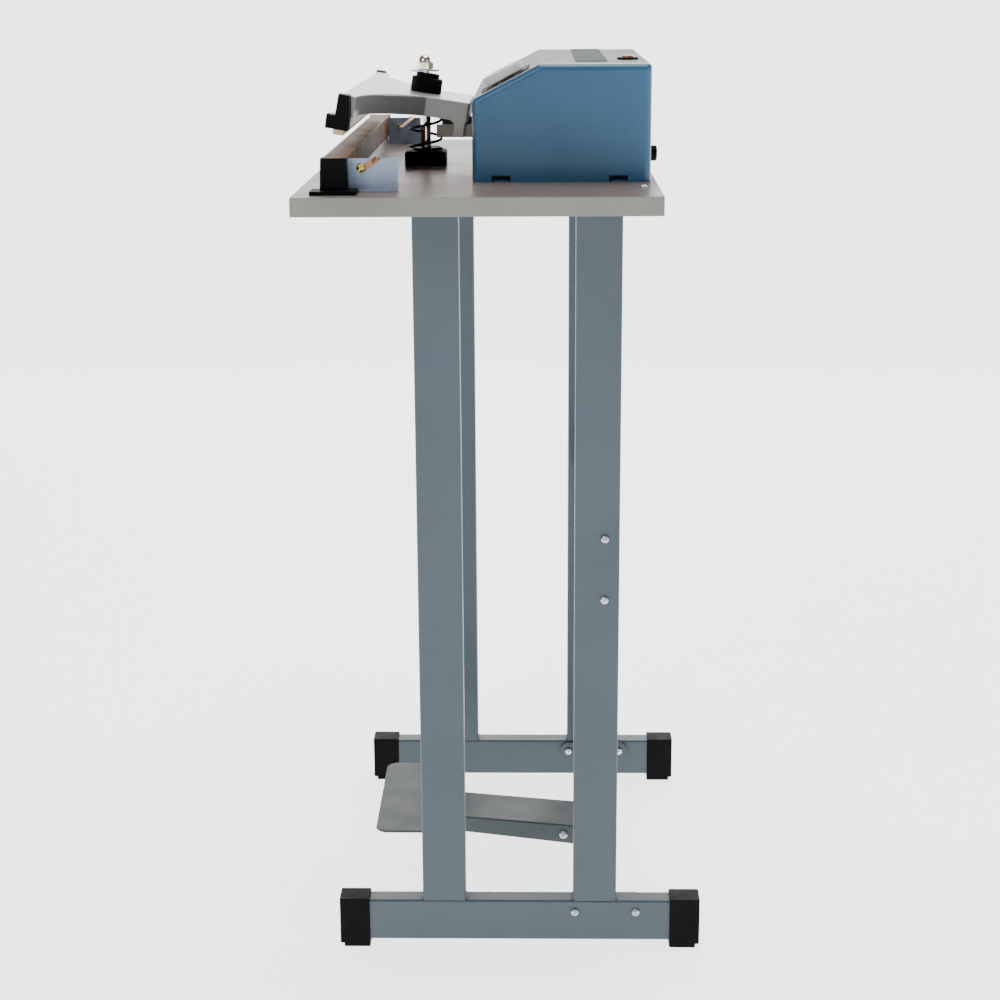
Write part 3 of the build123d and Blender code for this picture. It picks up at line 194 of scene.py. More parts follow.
FINISHES = {
    "stand_paint": dict(
        colours=(rgb(58, 70, 79), rgb(65, 77, 86)), rough=(0.4, 0.52), patch=5.0, mottle=420.0,
        bumps=(("noise", 520.0, 0.03), ("noise", 1600.0, 0.006)), coat=0.1, coat_rough=0.25, ior=1.36,
        worn=(rgb(112, 121, 128), 0.35, 0.4), bevel=0.8, mottle_share=0.4,
    ),
    # painted shade: the stand paint again in a greyer tone with less gloss, standing in for the table's shadow on
    # the pedal plate and arm
    "pedal_shaded_paint": dict(
        colours=(rgb(60, 68, 70), rgb(68, 75, 76)), rough=(0.46, 0.58), patch=9.0, mottle=420.0,
        bumps=(("noise", 520.0, 0.03), ("noise", 1600.0, 0.006)), coat=0.08, coat_rough=0.3, ior=1.3,
        worn=(rgb(128, 132, 134), 0.35, 0.6), bevel=0.8, mottle_share=0.4,
    ),
    "black_plastic": dict(
        colours=(rgb(2, 2, 4), rgb(6, 6, 9)), rough=(0.5, 0.62), patch=18.0, mottle=260.0, ior=1.16,
        bumps=(("noise", 900.0, 0.02), ("cells", 1400.0, 0.008)), worn=(rgb(24, 24, 28), 0.45, 0.4),
    ),
    "particle_board": dict(
        colours=(rgb(176, 140, 98), rgb(120, 88, 56)), rough=(0.75, 0.95), patch=60.0, mottle=300.0,
        bumps=(("cells", 420.0, 0.4),), specks=(360.0, rgb(210, 180, 135), 0.18), mottle_share=0.6,
    ),
    "laminate": dict(
        colours=(rgb(118, 107, 103), rgb(109, 98, 94)), rough=(0.26, 0.34), patch=4.0, mottle=160.0,
        bumps=(("noise", 30.0, 0.004),), bevel=0.2, ior=1.13,
    ),
    "edge_band": dict(
        colours=(rgb(116, 119, 111), rgb(108, 111, 104)), rough=(0.45, 0.6), patch=9.0, mottle=180.0,
        bumps=(("noise", 700.0, 0.02), ("noise", 60.0, 0.04)), ior=1.4,
        worn=(rgb(112, 110, 103), 0.6, 0.5),
    ),
    "zinc_plated": dict(
        colours=(rgb(196, 200, 206), rgb(168, 176, 186)), rough=(0.22, 0.4), metallic=1.0, patch=40.0,
        mottle=300.0, bumps=(("noise", 1500.0, 0.01),), worn=(rgb(225, 225, 228), 0.15, 0.7), bevel=0.25,
    ),
    "galvanised": dict(
        colours=(rgb(150, 163, 184), rgb(138, 152, 174)), rough=(0.34, 0.48), metallic=0.45, patch=70.0,
        mottle=380.0, bumps=(("noise", 300.0, 0.01), ("noise", 1300.0, 0.006)),
        worn=(rgb(205, 210, 218), 0.25, 0.6), bevel=0.3,
    ),
    "chrome_plated": dict(
        colours=(rgb(226, 224, 216), rgb(206, 204, 198)), rough=(0.04, 0.12), metallic=1.0, patch=20.0,
        mottle=200.0, bumps=(("noise", 300.0, 0.004),), bevel=0.2,
    ),
    "gilt_chrome": dict(
        colours=(rgb(232, 226, 210), rgb(214, 206, 184)), rough=(0.05, 0.14), metallic=1.0, patch=60.0,
        mottle=400.0, bumps=(("noise", 420.0, 0.004),), worn=(rgb(238, 236, 228), 0.1, 0.6), bevel=0.3,
    ),
    "spring_black": dict(
        colours=(rgb(9, 9, 11), rgb(20, 19, 19)), rough=(0.3, 0.45), metallic=0.3, patch=50.0,
        mottle=500.0, bumps=(("noise", 1600.0, 0.02),), bevel=0.1,
    ),
    "case_blue": dict(
        colours=(rgb(40, 78, 108), rgb(47, 86, 116)), rough=(0.34, 0.42), metallic=0.12, patch=7.0,
        mottle=420.0, bumps=(("cells", 420.0, 0.012), ("noise", 1300.0, 0.005)), coat=0.22,
        coat_rough=0.14,
        worn=(rgb(100, 134, 158), 0.3, 0.3), mottle_share=0.4, ior=1.32, bevel=0.8,
    ),
    "case_grey": dict(
        colours=(rgb(128, 124, 117), rgb(119, 115, 109)), rough=(0.55, 0.66), patch=8.0, mottle=380.0,
        bumps=(("cells", 520.0, 0.02), ("noise", 1300.0, 0.006)), coat=0.05, coat_rough=0.3, ior=1.25,
        worn=(rgb(104, 102, 98), 0.5, 0.35), mottle_share=0.4,
    ),
    "arm_grey": dict(
        colours=(rgb(146, 145, 143), rgb(134, 134, 134)), rough=(0.36, 0.46), metallic=0.35, patch=12.0,
        mottle=600.0, bumps=(("cells", 900.0, 0.008), ("noise", 1800.0, 0.005)), coat=0.3,
        coat_rough=0.18,
        worn=(rgb(196, 200, 206), 0.28, 0.8), mottle_share=0.4, bevel=0.9,
    ),
    "jaw_aluminium": dict(
        colours=(rgb(196, 197, 199), rgb(176, 178, 181)), rough=(0.25, 0.4), metallic=1.0, patch=30.0,
        mottle=260.0, bumps=(("noise", 500.0, 0.03),), stretch=(0.08, 1, 1), anisotropic=0.4,
        worn=(rgb(228, 228, 230), 0.2, 0.5),
    ),
    "silicone": dict(
        colours=(rgb(206, 186, 156), rgb(188, 166, 136)), rough=(0.5, 0.68), patch=30.0, mottle=240.0,
        bumps=(("noise", 800.0, 0.05),), worn=(rgb(170, 146, 116), 0.6, 0.4),
    ),
    "ptfe_cloth": dict(
        colours=(rgb(112, 80, 47), rgb(86, 60, 34)), rough=(0.46, 0.6), patch=14.0, mottle=120.0, ior=1.2,
        bumps=(("X", 420.0, 0.006), ("Y", 420.0, 0.006), ("Z", 420.0, 0.006)), bevel=0.1,
        mottle_share=0.3,
    ),
    "heating_alloy": dict(
        colours=(rgb(150, 142, 134), rgb(122, 112, 106)), rough=(0.2, 0.35), metallic=1.0, patch=25.0,
        mottle=160.0, bumps=(("noise", 900.0, 0.01),),
    ),
    "brass_plated": dict(
        colours=(rgb(196, 190, 96), rgb(170, 152, 70)), rough=(0.2, 0.36), metallic=1.0, patch=120.0,
        mottle=500.0, bumps=(("noise", 1400.0, 0.01),), bevel=0.25,
    ),
    "copper_lead": dict(
        colours=(rgb(168, 122, 94), rgb(136, 94, 70)), rough=(0.26, 0.42), metallic=0.9, patch=100.0,
        mottle=420.0, bumps=(("noise", 900.0, 0.015),), bevel=0.2,
    ),
    "knob_grey": dict(
        colours=(rgb(232, 228, 223), rgb(222, 218, 213)), rough=(0.38, 0.5), patch=24.0, mottle=300.0,
        bumps=(("noise", 1200.0, 0.008),), worn=(rgb(186, 182, 178), 0.5, 0.3), ior=1.4,
    ),
    "dial_black": dict(
        colours=(rgb(10, 10, 12), rgb(16, 16, 19)), rough=(0.5, 0.62), patch=20.0, mottle=300.0, ior=1.12,
        bumps=(("noise", 1600.0, 0.01),), worn=(rgb(80, 80, 82), 0.4, 0.4), bevel=0.2,
    ),
    "dial_white": dict(
        colours=(rgb(220, 220, 216), rgb(206, 206, 202)), rough=(0.4, 0.5), patch=30.0, mottle=400.0,
        bumps=(("noise", 2000.0, 0.01),), bevel=0.05,
    ),
    "label_teal": dict(
        colours=(rgb(58, 72, 71), rgb(50, 64, 63)), rough=(0.6, 0.7), patch=12.0, mottle=300.0, ior=1.15,
        bumps=(("noise", 900.0, 0.01),), worn=(rgb(120, 128, 126), 0.45, 0.4), bevel=0.2,
    ),
    "lamp_red": dict(
        colours=(rgb(170, 20, 14), rgb(140, 10, 8)), rough=(0.05, 0.12), patch=60.0, mottle=500.0,
        bumps=(("noise", 700.0, 0.01),), coat=1.0, coat_rough=0.03, bevel=0.1,
    ),
    "amber_cap": dict(
        colours=(rgb(150, 96, 44), rgb(112, 66, 26)), rough=(0.18, 0.3), patch=80.0, mottle=500.0,
        bumps=(("noise", 1300.0, 0.02),), coat=0.5, coat_rough=0.1, bevel=0.2,
    ),
    "laminated_steel": dict(
        colours=(rgb(80, 80, 84), rgb(58, 57, 60)), rough=(0.4, 0.6), metallic=0.7, patch=40.0,
        mottle=300.0, bumps=(("Y", 160.0, 0.15), ("noise", 900.0, 0.04)),
    ),
    "winding": dict(
        colours=(rgb(170, 110, 60), rgb(130, 76, 38)), rough=(0.3, 0.45), patch=40.0, mottle=300.0,
        bumps=(("Z", 180.0, 0.2), ("noise", 700.0, 0.03)),
    ),
    "circuit_board": dict(
        colours=(rgb(38, 104, 60), rgb(28, 84, 46)), rough=(0.3, 0.45), patch=30.0, mottle=220.0,
        bumps=(("cells", 240.0, 0.06),), specks=(220.0, rgb(196, 190, 170), 0.14),
    ),
}
MATERIALS = {name: material(name, **finish) for name, finish in FINISHES.items()}
# CAD nodes whose look differs from their record's slot; the pedal plate and arm take a greyer, less glossy copy of
# the stand paint as painted shade for the table's shadow over the pedal
LOOKS = {"element_brackets": "galvanised", "hinge_pin": "arm_grey", "pedal_plate": "pedal_shaded_paint",
         "pedal_arm": "pedal_shaded_paint"}
for piece in frame["record"]["subparts"]:
    obj = nodes[piece["node"]]
    look = MATERIALS[LOOKS.get(piece["node"], piece["material_slot"])]
    obj.data.materials.clear()
    obj.data.materials.append(look)


# ------------------------------------------------------------------ mesh tools
def shade(mesh, degrees=35):
    """Smooth faces with sharp edges kept where they turn by more than the angle."""
    for face in mesh.polygons:
        face.use_smooth = True
    mesh.set_sharp_from_angle(angle=math.radians(degrees))


for obj in nodes.values():
    shade(obj.data, 28)


def piece(name, mesh, body, slot, look=None, stands_for=(), degrees=35):
    """Object from (vertices, faces), on its CAD body and in its finish."""
    verts, faces = mesh
    data = bpy.data.meshes.new(name)
    data.from_pydata([tuple(v) for v in verts], [], faces)
    data.validate()
    tidy = bmesh.new()
    tidy.from_mesh(data)
    bmesh.ops.recalc_face_normals(tidy, faces=tidy.faces)
    tidy.to_mesh(data)
    tidy.free()
    shade(data, degrees)
    data.materials.append(MATERIALS[look or slot])
    obj = bpy.data.objects.new(name, data)
    bpy.context.scene.collection.objects.link(obj)
    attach(obj, body)
    if stands_for:
        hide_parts(*stands_for)
    return obj


def joined(*meshes):
    """Several (vertices, faces) as one."""
    verts, faces = [], []
    for some_verts, some_faces in meshes:
        start = len(verts)
        verts.extend(some_verts)
        faces.extend([tuple(i + start for i in face) for face in some_faces])
    return verts, faces


def placed(mesh, matrix):
    """(vertices, faces) moved by the matrix."""
    return [matrix @ Vector(v) for v in mesh[0]], mesh[1]


def lathe(profile, segments=48, wobble=None):
    """Surface of revolution about local Z through (radius, height) points."""
    verts, faces, rings = [], [], []
    for radius, height in profile:
        if radius < 1e-7:
            rings.append([len(verts)])
            verts.append(Vector((0, 0, height)))
            continue
        ring = []
        for k in range(segments):
            turn = 2 * math.pi * k / segments
            r = radius + (wobble(turn, radius, height) if wobble else 0.0)
            ring.append(len(verts))
            verts.append(Vector((r * math.cos(turn), r * math.sin(turn), height)))
        rings.append(ring)
    for low, high in zip(rings, rings[1:]):
        for k in range(segments):
            n = (k + 1) % segments
            if len(low) == 1 and len(high) > 1:
                faces.append((low[0], high[n], high[k]))
            elif len(high) == 1 and len(low) > 1:
                faces.append((low[k], low[n], high[0]))
            elif len(low) > 1:
                faces.append((low[k], low[n], high[n], high[k]))
    if len(rings[0]) > 1 and len(rings[-1]) > 1 and profile[0] != profile[-1]:
        faces.append(tuple(reversed(rings[0])))
        faces.append(tuple(rings[-1]))
    return verts, faces


def prism(outline, low, high):
    """Solid over a closed outline of (x, y) points."""
    count = len(outline)
    verts = [Vector((x, y, z)) for z in (low, high) for x, y in outline]
    faces = [tuple(reversed(range(count))), tuple(range(count, 2 * count))]
    faces += [(k, (k + 1) % count, (k + 1) % count + count, k + count) for k in range(count)]
    return verts, faces


def boolean(first, second, operation="DIFFERENCE"):
    """Exact boolean of two closed meshes."""
    made = []
    for mesh in (first, second):
        data = bpy.data.meshes.new("scratch")
        data.from_pydata([tuple(v) for v in mesh[0]], [], mesh[1])
        tidy = bmesh.new()
        tidy.from_mesh(data)
        bmesh.ops.recalc_face_normals(tidy, faces=tidy.faces)
        tidy.to_mesh(data)
        tidy.free()
        obj = bpy.data.objects.new("scratch", data)
        bpy.context.scene.collection.objects.link(obj)
        made.append(obj)
    cut = made[0].modifiers.new("cut", "BOOLEAN")
    cut.operation = operation
    cut.solver = "EXACT"
    cut.object = made[1]
    result = made[0].evaluated_get(bpy.context.evaluated_depsgraph_get()).to_mesh()
    verts = [v.co.copy() for v in result.vertices]
    faces = [tuple(f.vertices) for f in result.polygons]
    for obj in made:
        bpy.data.objects.remove(obj)
    return verts, faces


def stand_on(point, direction, spin=0.0):
    """Matrix that takes local Z to the direction and the origin to the point."""
    turn = Vector(direction).normalized().to_track_quat("Z", "Y").to_matrix().to_4x4()
    return Matrix.Translation(point) @ turn @ Matrix.Rotation(spin, 4, "Z")


def arc(radius, centre, start, end, steps):
    """Points on an arc, (x, y), angles in degrees."""
    return [
        (centre[0] + radius * math.cos(math.radians(start + (end - start) * k / steps)),
         centre[1] + radius * math.sin(math.radians(start + (end - start) * k / steps)))
        for k in range(steps + 1)
    ]


def pan_screw(head_d, head_h, shank_d, shank_length, slots=2):
    """Screw with a domed head and a cross or a single slot, seated at local Z 0."""
    r, h = head_d / 2, head_h
    crown = [(0.0, -0.2 * h)] + [(r - 0.08 * h, -0.2 * h)] + [(r, 0.1 * h)]
    crown += [(r * math.cos(math.radians(a)), h * (0.25 + 0.75 * math.sin(math.radians(a))))
              for a in (8, 25, 42, 58, 72, 83)] + [(0.0, h)]
    head = lathe(crown, 40)
    width, reach = head_d * 0.11, head_d * 0.31
    bar = [(-reach, -width / 2), (reach, -width / 2), (reach, width / 2), (-reach, width / 2)]
    if slots == 1:
        bar = [(x * 2, y * 1.2) for x, y in bar]
    head = boolean(head, prism(bar, 0.35 * h, 2 * h))
    if slots == 2:
        head = boolean(head, prism([(-y, x) for x, y in bar], 0.35 * h, 2 * h))
    pitch = 0.16 * shank_d
    threads = [(shank_d / 2 - (0.06 * shank_d if k % 2 else 0.0), -k * pitch) for k in
               range(int(shank_length / pitch))]
    shank = lathe([(0.0, 0.0)] + threads + [(0.0, -shank_length)], 20)
    return joined(head, shank)


def hexagon(flats):
    """Corners of a hexagon by its width over the flats."""
    return [(flats / math.sqrt(3) * math.cos(math.radians(60 * k + 30)),
             flats / math.sqrt(3) * math.sin(math.radians(60 * k + 30))) for k in range(6)]


def hex_nut(flats, height, hole_d):
    """Hexagon nut with turned corners, standing on local Z 0."""
    corner, edge = flats / math.sqrt(3), flats / 2
    drop = (corner - edge) * 0.6
    turned = lathe([(0.0, 0.0), (edge * 0.95, 0.0), (corner, drop), (corner, height - drop),
                    (edge * 0.95, height), (0.0, height)], 60)
    nut = boolean(prism(hexagon(flats), 0.0, height), turned, "INTERSECT")
    return boolean(nut, lathe([(hole_d / 2, -height), (hole_d / 2, 2 * height)], 40))


def tube_along(points, radius, sides=14, closed=False, scale=None):
    """Round tube along a line of points, with its ends capped."""
    verts, faces = [], []
    count = len(points)
    side = None
    for k, point in enumerate(points):
        ahead = points[(k + 1) % count] if closed or k < count - 1 else point
        behind = points[k - 1] if closed or k > 0 else point
        along = (ahead - behind).normalized()
        if side is None:
            side = along.orthogonal().normalized()
        side = (side - along * side.dot(along)).normalized()
        other = along.cross(side)
        r = radius * (scale(k) if scale else 1.0)
        for n in range(sides):
            turn = 2 * math.pi * n / sides
            verts.append(point + side * (r * math.cos(turn)) + other * (r * math.sin(turn)))
    for k in range(count if closed else count - 1):
        a, b = k * sides, ((k + 1) % count) * sides
        faces += [(a + n, a + (n + 1) % sides, b + (n + 1) % sides, b + n) for n in range(sides)]
    if not closed:
        faces.append(tuple(reversed(range(sides))))
        faces.append(tuple(range((count - 1) * sides, count * sides)))
    return verts, faces


# ------------------------------------------------------------------ shared places
def middle(node):
    """Middle of a CAD node's box."""
    low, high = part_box(node)
    return (low + high) / 2


case_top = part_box("wrap_cover")[1].z
FOOT_X = 0.245
TUBE = Vector((0.025, 0.050))
STAND_Y = 0.010
POST_REACH = 0.0875
POST_Y = (STAND_Y - POST_REACH, STAND_Y + POST_REACH)
FLANGE = 0.003  # thickness of the cross members' end flanges


def clusters(node):
    """Boxes of the separate solids of a node, as (low, high) corners in order."""
    mesh = bmesh.new()
    mesh.from_mesh(nodes[node].data)
    bmesh.ops.remove_doubles(mesh, verts=mesh.verts, dist=1e-6)
    left, found = set(mesh.verts), []
    while left:
        stack, group = [left.pop()], []
        while stack:
            vert = stack.pop()
            group.append(vert.co.copy())
            for edge in vert.link_edges:
                other = edge.other_vert(vert)
                if other in left:
                    left.remove(other)
                    stack.append(other)
        low = Vector([min(v[i] for v in group) for i in range(3)])
        high = Vector([max(v[i] for v in group) for i in range(3)])
        found.append((low, high))
    mesh.free()
    return sorted(found, key=lambda pair: tuple(round(x, 5) for x in pair[0]))


# ------------------------------------------------------------------ screws
SMALL_SCREW = {"head_d": 0.008, "head_h": 0.0024, "shank_d": 0.004}
CROSS_SCREW = {"head_d": 0.0095, "head_h": 0.0036, "shank_d": 0.005}
CROSS_NUT = {"flats": 0.008, "height": 0.004, "hole_d": 0.0049}
PIVOT_BOLT = {"head_d": 0.011, "head_h": 0.004, "shank_d": 0.007}
PIVOT_NUT = {"flats": 0.011, "height": 0.004, "hole_d": 0.0069}
TERMINAL_SCREW = {"head_d": 0.009, "head_h": 0.003, "shank_d": 0.005}
END_GAP = 0.0002  # how far a hidden screw end stops short of its CAD box


def upright_screws(name, node, slot):
    """Screws with their heads up in the places of a node's solids."""
    made = []
    for low, high in clusters(node):
        head_h = SMALL_SCREW["head_h"]
        screw = pan_screw(**SMALL_SCREW, shank_length=high.z - low.z - head_h)
        seat = ((low.x + high.x) / 2, (low.y + high.y) / 2, high.z - head_h)
        made.append(placed(screw, stand_on(seat, (0, 0, 1), random.uniform(0, math.pi))))
    piece(name, joined(*made), "stand", slot, stands_for=(node,), degrees=30)


upright_screws("table_screw_set", "table_screws", "zinc_plated")
upright_screws("case_screw_set", "case_screws", "spring_black")


def side_screw(low, high, size, spin, gap=0.0, slots=2):
    """Screw along X in a solid's box, its head on the outer side."""
    side = 1 if low.x > 0 else -1
    outer = high.x if side > 0 else low.x
    seat = (outer - side * size["head_h"], (low.y + high.y) / 2, (low.z + high.z) / 2)
    screw = pan_screw(**size, shank_length=high.x - low.x - size["head_h"] - gap, slots=slots)
    return placed(screw, stand_on(seat, (side, 0, 0), spin))


def cross_screws():
    """Screws through the stand for the cross members, with their nuts."""
    made = []
    for low, high in clusters("cross_member_screws"):
        side = 1 if low.x > 0 else -1
        made.append(side_screw(low, high, CROSS_SCREW, random.uniform(0, math.pi)))
        face = (side * (FOOT_X - TUBE.x / 2 - FLANGE), (low.y + high.y) / 2, (low.z + high.z) / 2)
        made.append(placed(hex_nut(**CROSS_NUT), stand_on(face, (-side, 0, 0), random.uniform(0, 1))))
    piece("cross_screw_set", joined(*made), "stand", "zinc_plated",
          stands_for=("cross_member_screws",), degrees=30)


cross_screws()


def pivot_bolts():
    """The pedal's two pivot bolts, with cross recesses and nuts."""
    made = []
    bolt_spin, nut_spin = 0.4, 0.2
    for low, high in clusters("pedal_pivot_bolts"):
        side = 1 if low.x > 0 else -1
        made.append(side_screw(low, high, PIVOT_BOLT, bolt_spin, END_GAP))
        inner = (low.x if side > 0 else high.x, (low.y + high.y) / 2, (low.z + high.z) / 2)
        made.append(placed(hex_nut(**PIVOT_NUT), stand_on(inner, (side, 0, 0), nut_spin)))
    piece("pivot_bolt_set", joined(*made), "stand", "zinc_plated",
          stands_for=("pedal_pivot_bolts",), degrees=30)


pivot_bolts()


def terminals():
    """Plated terminal screws on the element brackets."""
    slot_spin = 0.9
    made = [side_screw(low, high, TERMINAL_SCREW, slot_spin, END_GAP, 1)
            for low, high in clusters("terminal_screws")]
    piece("terminal_screw_set", joined(*made), "stand", "brass_plated",
          stands_for=("terminal_screws",), degrees=30)


terminals()


# ------------------------------------------------------------------ rod furniture
def dome_nut():
    """Cap nut with turned corners under a polished dome."""
    low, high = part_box("dome_nut")
    centre = (low + high) / 2
    flats, height = high.y - low.y, high.z - low.z
    base, hole, rim = 0.008, 0.0099, 0.0004
    radius = flats / 2 - rim
    wall = height - base - radius
    dome = [(0.0, base - 0.0001), (radius * 0.97, base - 0.0001), (radius, base + 0.0003),
            (radius, base + wall)]
    dome += [(radius * math.cos(math.radians(a)), base + wall + radius * math.sin(math.radians(a)))
             for a in range(9, 90, 9)] + [(0.0, height)]
    mesh = joined(hex_nut(flats, base, hole), lathe(dome, 64))
    place = Matrix.Translation((centre.x, centre.y, low.z))
    piece("cap_nut", placed(mesh, place), "rod", "chrome_plated", look="gilt_chrome",
          stands_for=("dome_nut",), degrees=30)


dome_nut()


def spring():
    """Black compression spring with closed and ground ends."""
    low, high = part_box("return_spring")
    wire, turns, steps, start = 0.0016, 3.9, 64, 0.6
    closed = 0.55  # turns that lie flat at each end
    soft = 0.15  # share of the rise that eases in and out
    radius = (high.x - low.x) / 2 - wire
    centre = middle("return_spring")
    rise = high.z - low.z - 2 * wire
    points = []
    for k in range(int(turns * steps) + 1):
        turn = k / steps
        share = min(max((turn - closed) / (turns - 2 * closed), 0.0), 1.0)
        eased = (1 - soft) * share + soft * share * share * (3 - 2 * share)
        angle = 2 * math.pi * turn + start
        points.append(Vector((centre.x + radius * math.cos(angle), centre.y + radius * math.sin(angle),
                              low.z + wire + rise * eased)))
    coil = piece("coil_spring", tube_along(points, wire, 16), "stand", "spring_black",
                 stands_for=("return_spring",), degrees=60)
    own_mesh(coil)


spring()


# ------------------------------------------------------------------ PTFE cloth over the lower jaw
def end_tape(name, side, high, mid_y, thick):
    """Short tape that covers the cloth's end on top of the jaw's support."""
    rows, half_width, length, lift, dip = 12, 0.0125, 0.0143, 0.00035, 0.0012
    start = side * (high.x + 0.0002)
    verts = [
        Vector((start + side * length * i / rows, mid_y + half_width * (2 * k / rows - 1),
                high.z + lift - dip * (i / rows) ** 6))
        for i in range(rows + 1) for k in range(rows + 1)
    ]
    width = rows + 1
    faces = [(i * width + k, i * width + k + 1, i * width + k + width + 1, i * width + k + width)
             for i in range(rows) for k in range(rows)]
    tape = piece(name, (verts, faces), "stand", "ptfe_cloth")
    wrap = tape.modifiers.new("thickness", "SOLIDIFY")
    wrap.thickness = thick
    return tape


def cloth():
    """Coated glass cloth pulled over the lower jaw and down both sides."""
    low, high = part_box("ptfe_cloth")
    thick, bend, hem, end_gap, columns = 0.00025, 0.0012, 0.0005, 0.0004, 160
    ripple_height = 0.0005
    mid_y = (low.y + high.y) / 2
    half = (high.y - low.y) / 2 - thick
    top = high.z - 0.00008
    drop = top - bend - low.z
    corner = [(bend * math.sin(math.radians(a)), bend * math.cos(math.radians(a)))
              for a in range(0, 91, 15)]
    line = [(-half, low.z + hem + drop * k / 12) for k in range(12)]
    line += [(-half + bend - across, top - bend + up) for up, across in corner]
    line += [(-half + bend + (2 * half - 2 * bend) * k / 14, top) for k in range(1, 14)]
    line += [(half - bend + across, top - bend + up) for across, up in corner]
    line += [(half, top - bend - (drop - hem) * k / 12) for k in range(1, 13)]
    verts, faces = [], []
    for i in range(columns + 1):
        x = low.x + end_gap + (high.x - low.x - 2 * end_gap) * i / columns
        for y, z in line:
            share = max(0.0, (top - z) / (top - low.z))
            ripple = noise.noise(Vector((x * 9, z * 30, y * 4))) * ripple_height * share
            out = math.copysign(1.0, y) if abs(y) > half - bend else 0.0
            verts.append(Vector((x, mid_y + y + out * abs(ripple), z)))
    width = len(line)
    for i in range(columns):
        for k in range(width - 1):
            a = i * width + k
            faces.append((a, a + 1, a + width + 1, a + width))
    obj = piece("ptfe_sheet", (verts, faces), "stand", "ptfe_cloth", stands_for=("ptfe_cloth",),
                degrees=60)
    solid = obj.modifiers.new("thickness", "SOLIDIFY")
    solid.thickness = thick
    solid.offset = -1.0
    tapes = [end_tape(name, side, high, mid_y, thick) for name, side in
             (("jaw_end_tape_left", -1), ("jaw_end_tape_right", 1))]


cloth()


def leads():
    """Copper strips that rise from the terminals over the brackets towards the element's ends."""
    made = []
    bracket_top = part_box("element_brackets")[1].z
    eye_half, eye_radius, hole_radius = 0.0005, 0.0048, 0.0026
    strip_half, strip_thick = 0.0030, 0.0004
    lip = bracket_top + 0.0006
    for low, high in clusters("element_leads"):
        side = 1 if low.x > 0 else -1
        face = high.x if side > 0 else low.x
        eye = Vector((face - side * eye_half, high.y - 0.0045, (low.z + high.z) / 2))
        disc = lathe([(0.0, -eye_half), (eye_radius, -eye_half), (eye_radius, eye_half),
                      (0.0, eye_half)], 48)
        ring = boolean(disc, lathe([(hole_radius, -0.01), (hole_radius, 0.01)], 32))
        made.append(placed(ring, stand_on(eye, (side, 0, 0))))
        path = [
            eye + Vector((0, 0.004, 0.0016)),
            eye + Vector((0, 0.011, 0.0052)),
            Vector((eye.x, eye.y + 0.0165, lip - 0.001)),
            Vector((eye.x - side * 0.0012, eye.y + 0.0185, lip)),
            Vector((eye.x - side * 0.008, eye.y + 0.0190, lip + 0.0002)),
            Vector((eye.x - side * 0.020, eye.y + 0.0150, lip - 0.003)),
            Vector((eye.x - side * 0.034, eye.y + 0.0040, lip - 0.011)),
        ]
        verts, faces = [], []
        for k, point in enumerate(path):
            ahead = (path[min(k + 1, len(path) - 1)] - path[max(k - 1, 0)]).normalized()
            flat = Vector((side, 0, 0)) if k < 3 else Vector((0, 0, 1))
            across = ahead.cross(flat).normalized()
            thickness = across.cross(ahead).normalized() * strip_thick
            for a, b in ((-1, -1), (1, -1), (1, 1), (-1, 1)):
                verts.append(point + across * (strip_half * a) + thickness * b)
        for k in range(len(path) - 1):
            for n in range(4):
                a, b = 4 * k + n, 4 * k + (n + 1) % 4
                faces.append((a, b, b + 4, a + 4))
        faces += [(3, 2, 1, 0), tuple(range(4 * len(path) - 4, 4 * len(path)))]
        made.append((verts, faces))
    obj = piece("lead_strips", joined(*made), "stand", "copper_lead",
                stands_for=("element_leads",), degrees=50)
    round_off = obj.modifiers.new("round", "BEVEL")
    round_off.width = 0.00015
    round_off.segments = 2


leads()


SLOT_LENGTH, SLOT_WIDTH, SLOT_MID = 0.01998, 0.011, 0.0005
ARM_TILT = math.radians(9.0)


def slot_outline():
    """Long slot that the rod runs in, its length along local Y."""
    run = (SLOT_LENGTH - SLOT_WIDTH) / 2
    outline = [(x, SLOT_MID + run + y) for x, y in arc(SLOT_WIDTH / 2, (0, 0), 0, 180, 16)]
    return outline + [(x, SLOT_MID - run + y) for x, y in arc(SLOT_WIDTH / 2, (0, 0), 180, 360, 16)]


def bush():
    """Black moulded bush on the arm, ribbed round its side, with the rod's slot through it."""
    hinge = next(j for j in frame["joints"] if j["name"] == "press_arm_hinge")
    ahead = Vector((0, -math.cos(ARM_TILT), math.sin(ARM_TILT)))
    rise = Vector((0, math.sin(ARM_TILT), math.cos(ARM_TILT)))
    foot = Vector(hinge["pos_m"]) + ahead * 0.047 + rise * 0.031
    ribbed_from, rib_depth, rib_count = 0.0172, 0.0007, 18

    def ribs(turn, radius, _height):
        if radius <= ribbed_from:
            return 0.0
        return -rib_depth * (0.5 + 0.5 * math.cos(turn * rib_count)) ** 6

    body = [(0.0, 0.0), (0.0178, 0.0), (0.0180, 0.0004)]
    body += [(0.0180, 0.001 + 0.0143 * k / 4) for k in range(5)]
    body += [(0.0176, 0.0163), (0.0166, 0.0170), (0.0135, 0.0170), (0.0135, 0.0214), (0.0129, 0.0220),
             (0.0, 0.0220)]
    shape = boolean(lathe(body, 288, ribs), prism(slot_outline(), -0.01, 0.04))
    turn = Matrix((Vector((1, 0, 0)), -ahead, rise)).transposed().to_4x4()
    piece("ribbed_bush", placed(shape, Matrix.Translation(foot) @ turn), "press_arm", "black_plastic",
          stands_for=("arm_bush",), degrees=35)


bush()

# ------------------------------------------------------------------ control panel
knob_joint = next(j for j in frame["joints"] if j["name"] == "timer_knob_turn")
panel_normal = Vector(knob_joint["axis"]).normalized()
knob_place = Vector(knob_joint["pos_m"])
panel_up = Vector((0, panel_normal.z, -panel_normal.y))


def on_panel(x, up, off):
    """Point on the slanted panel: along X, up the slant, off the sheet."""
    return Vector((x, knob_place.y, knob_place.z)) + panel_up * up + panel_normal * off


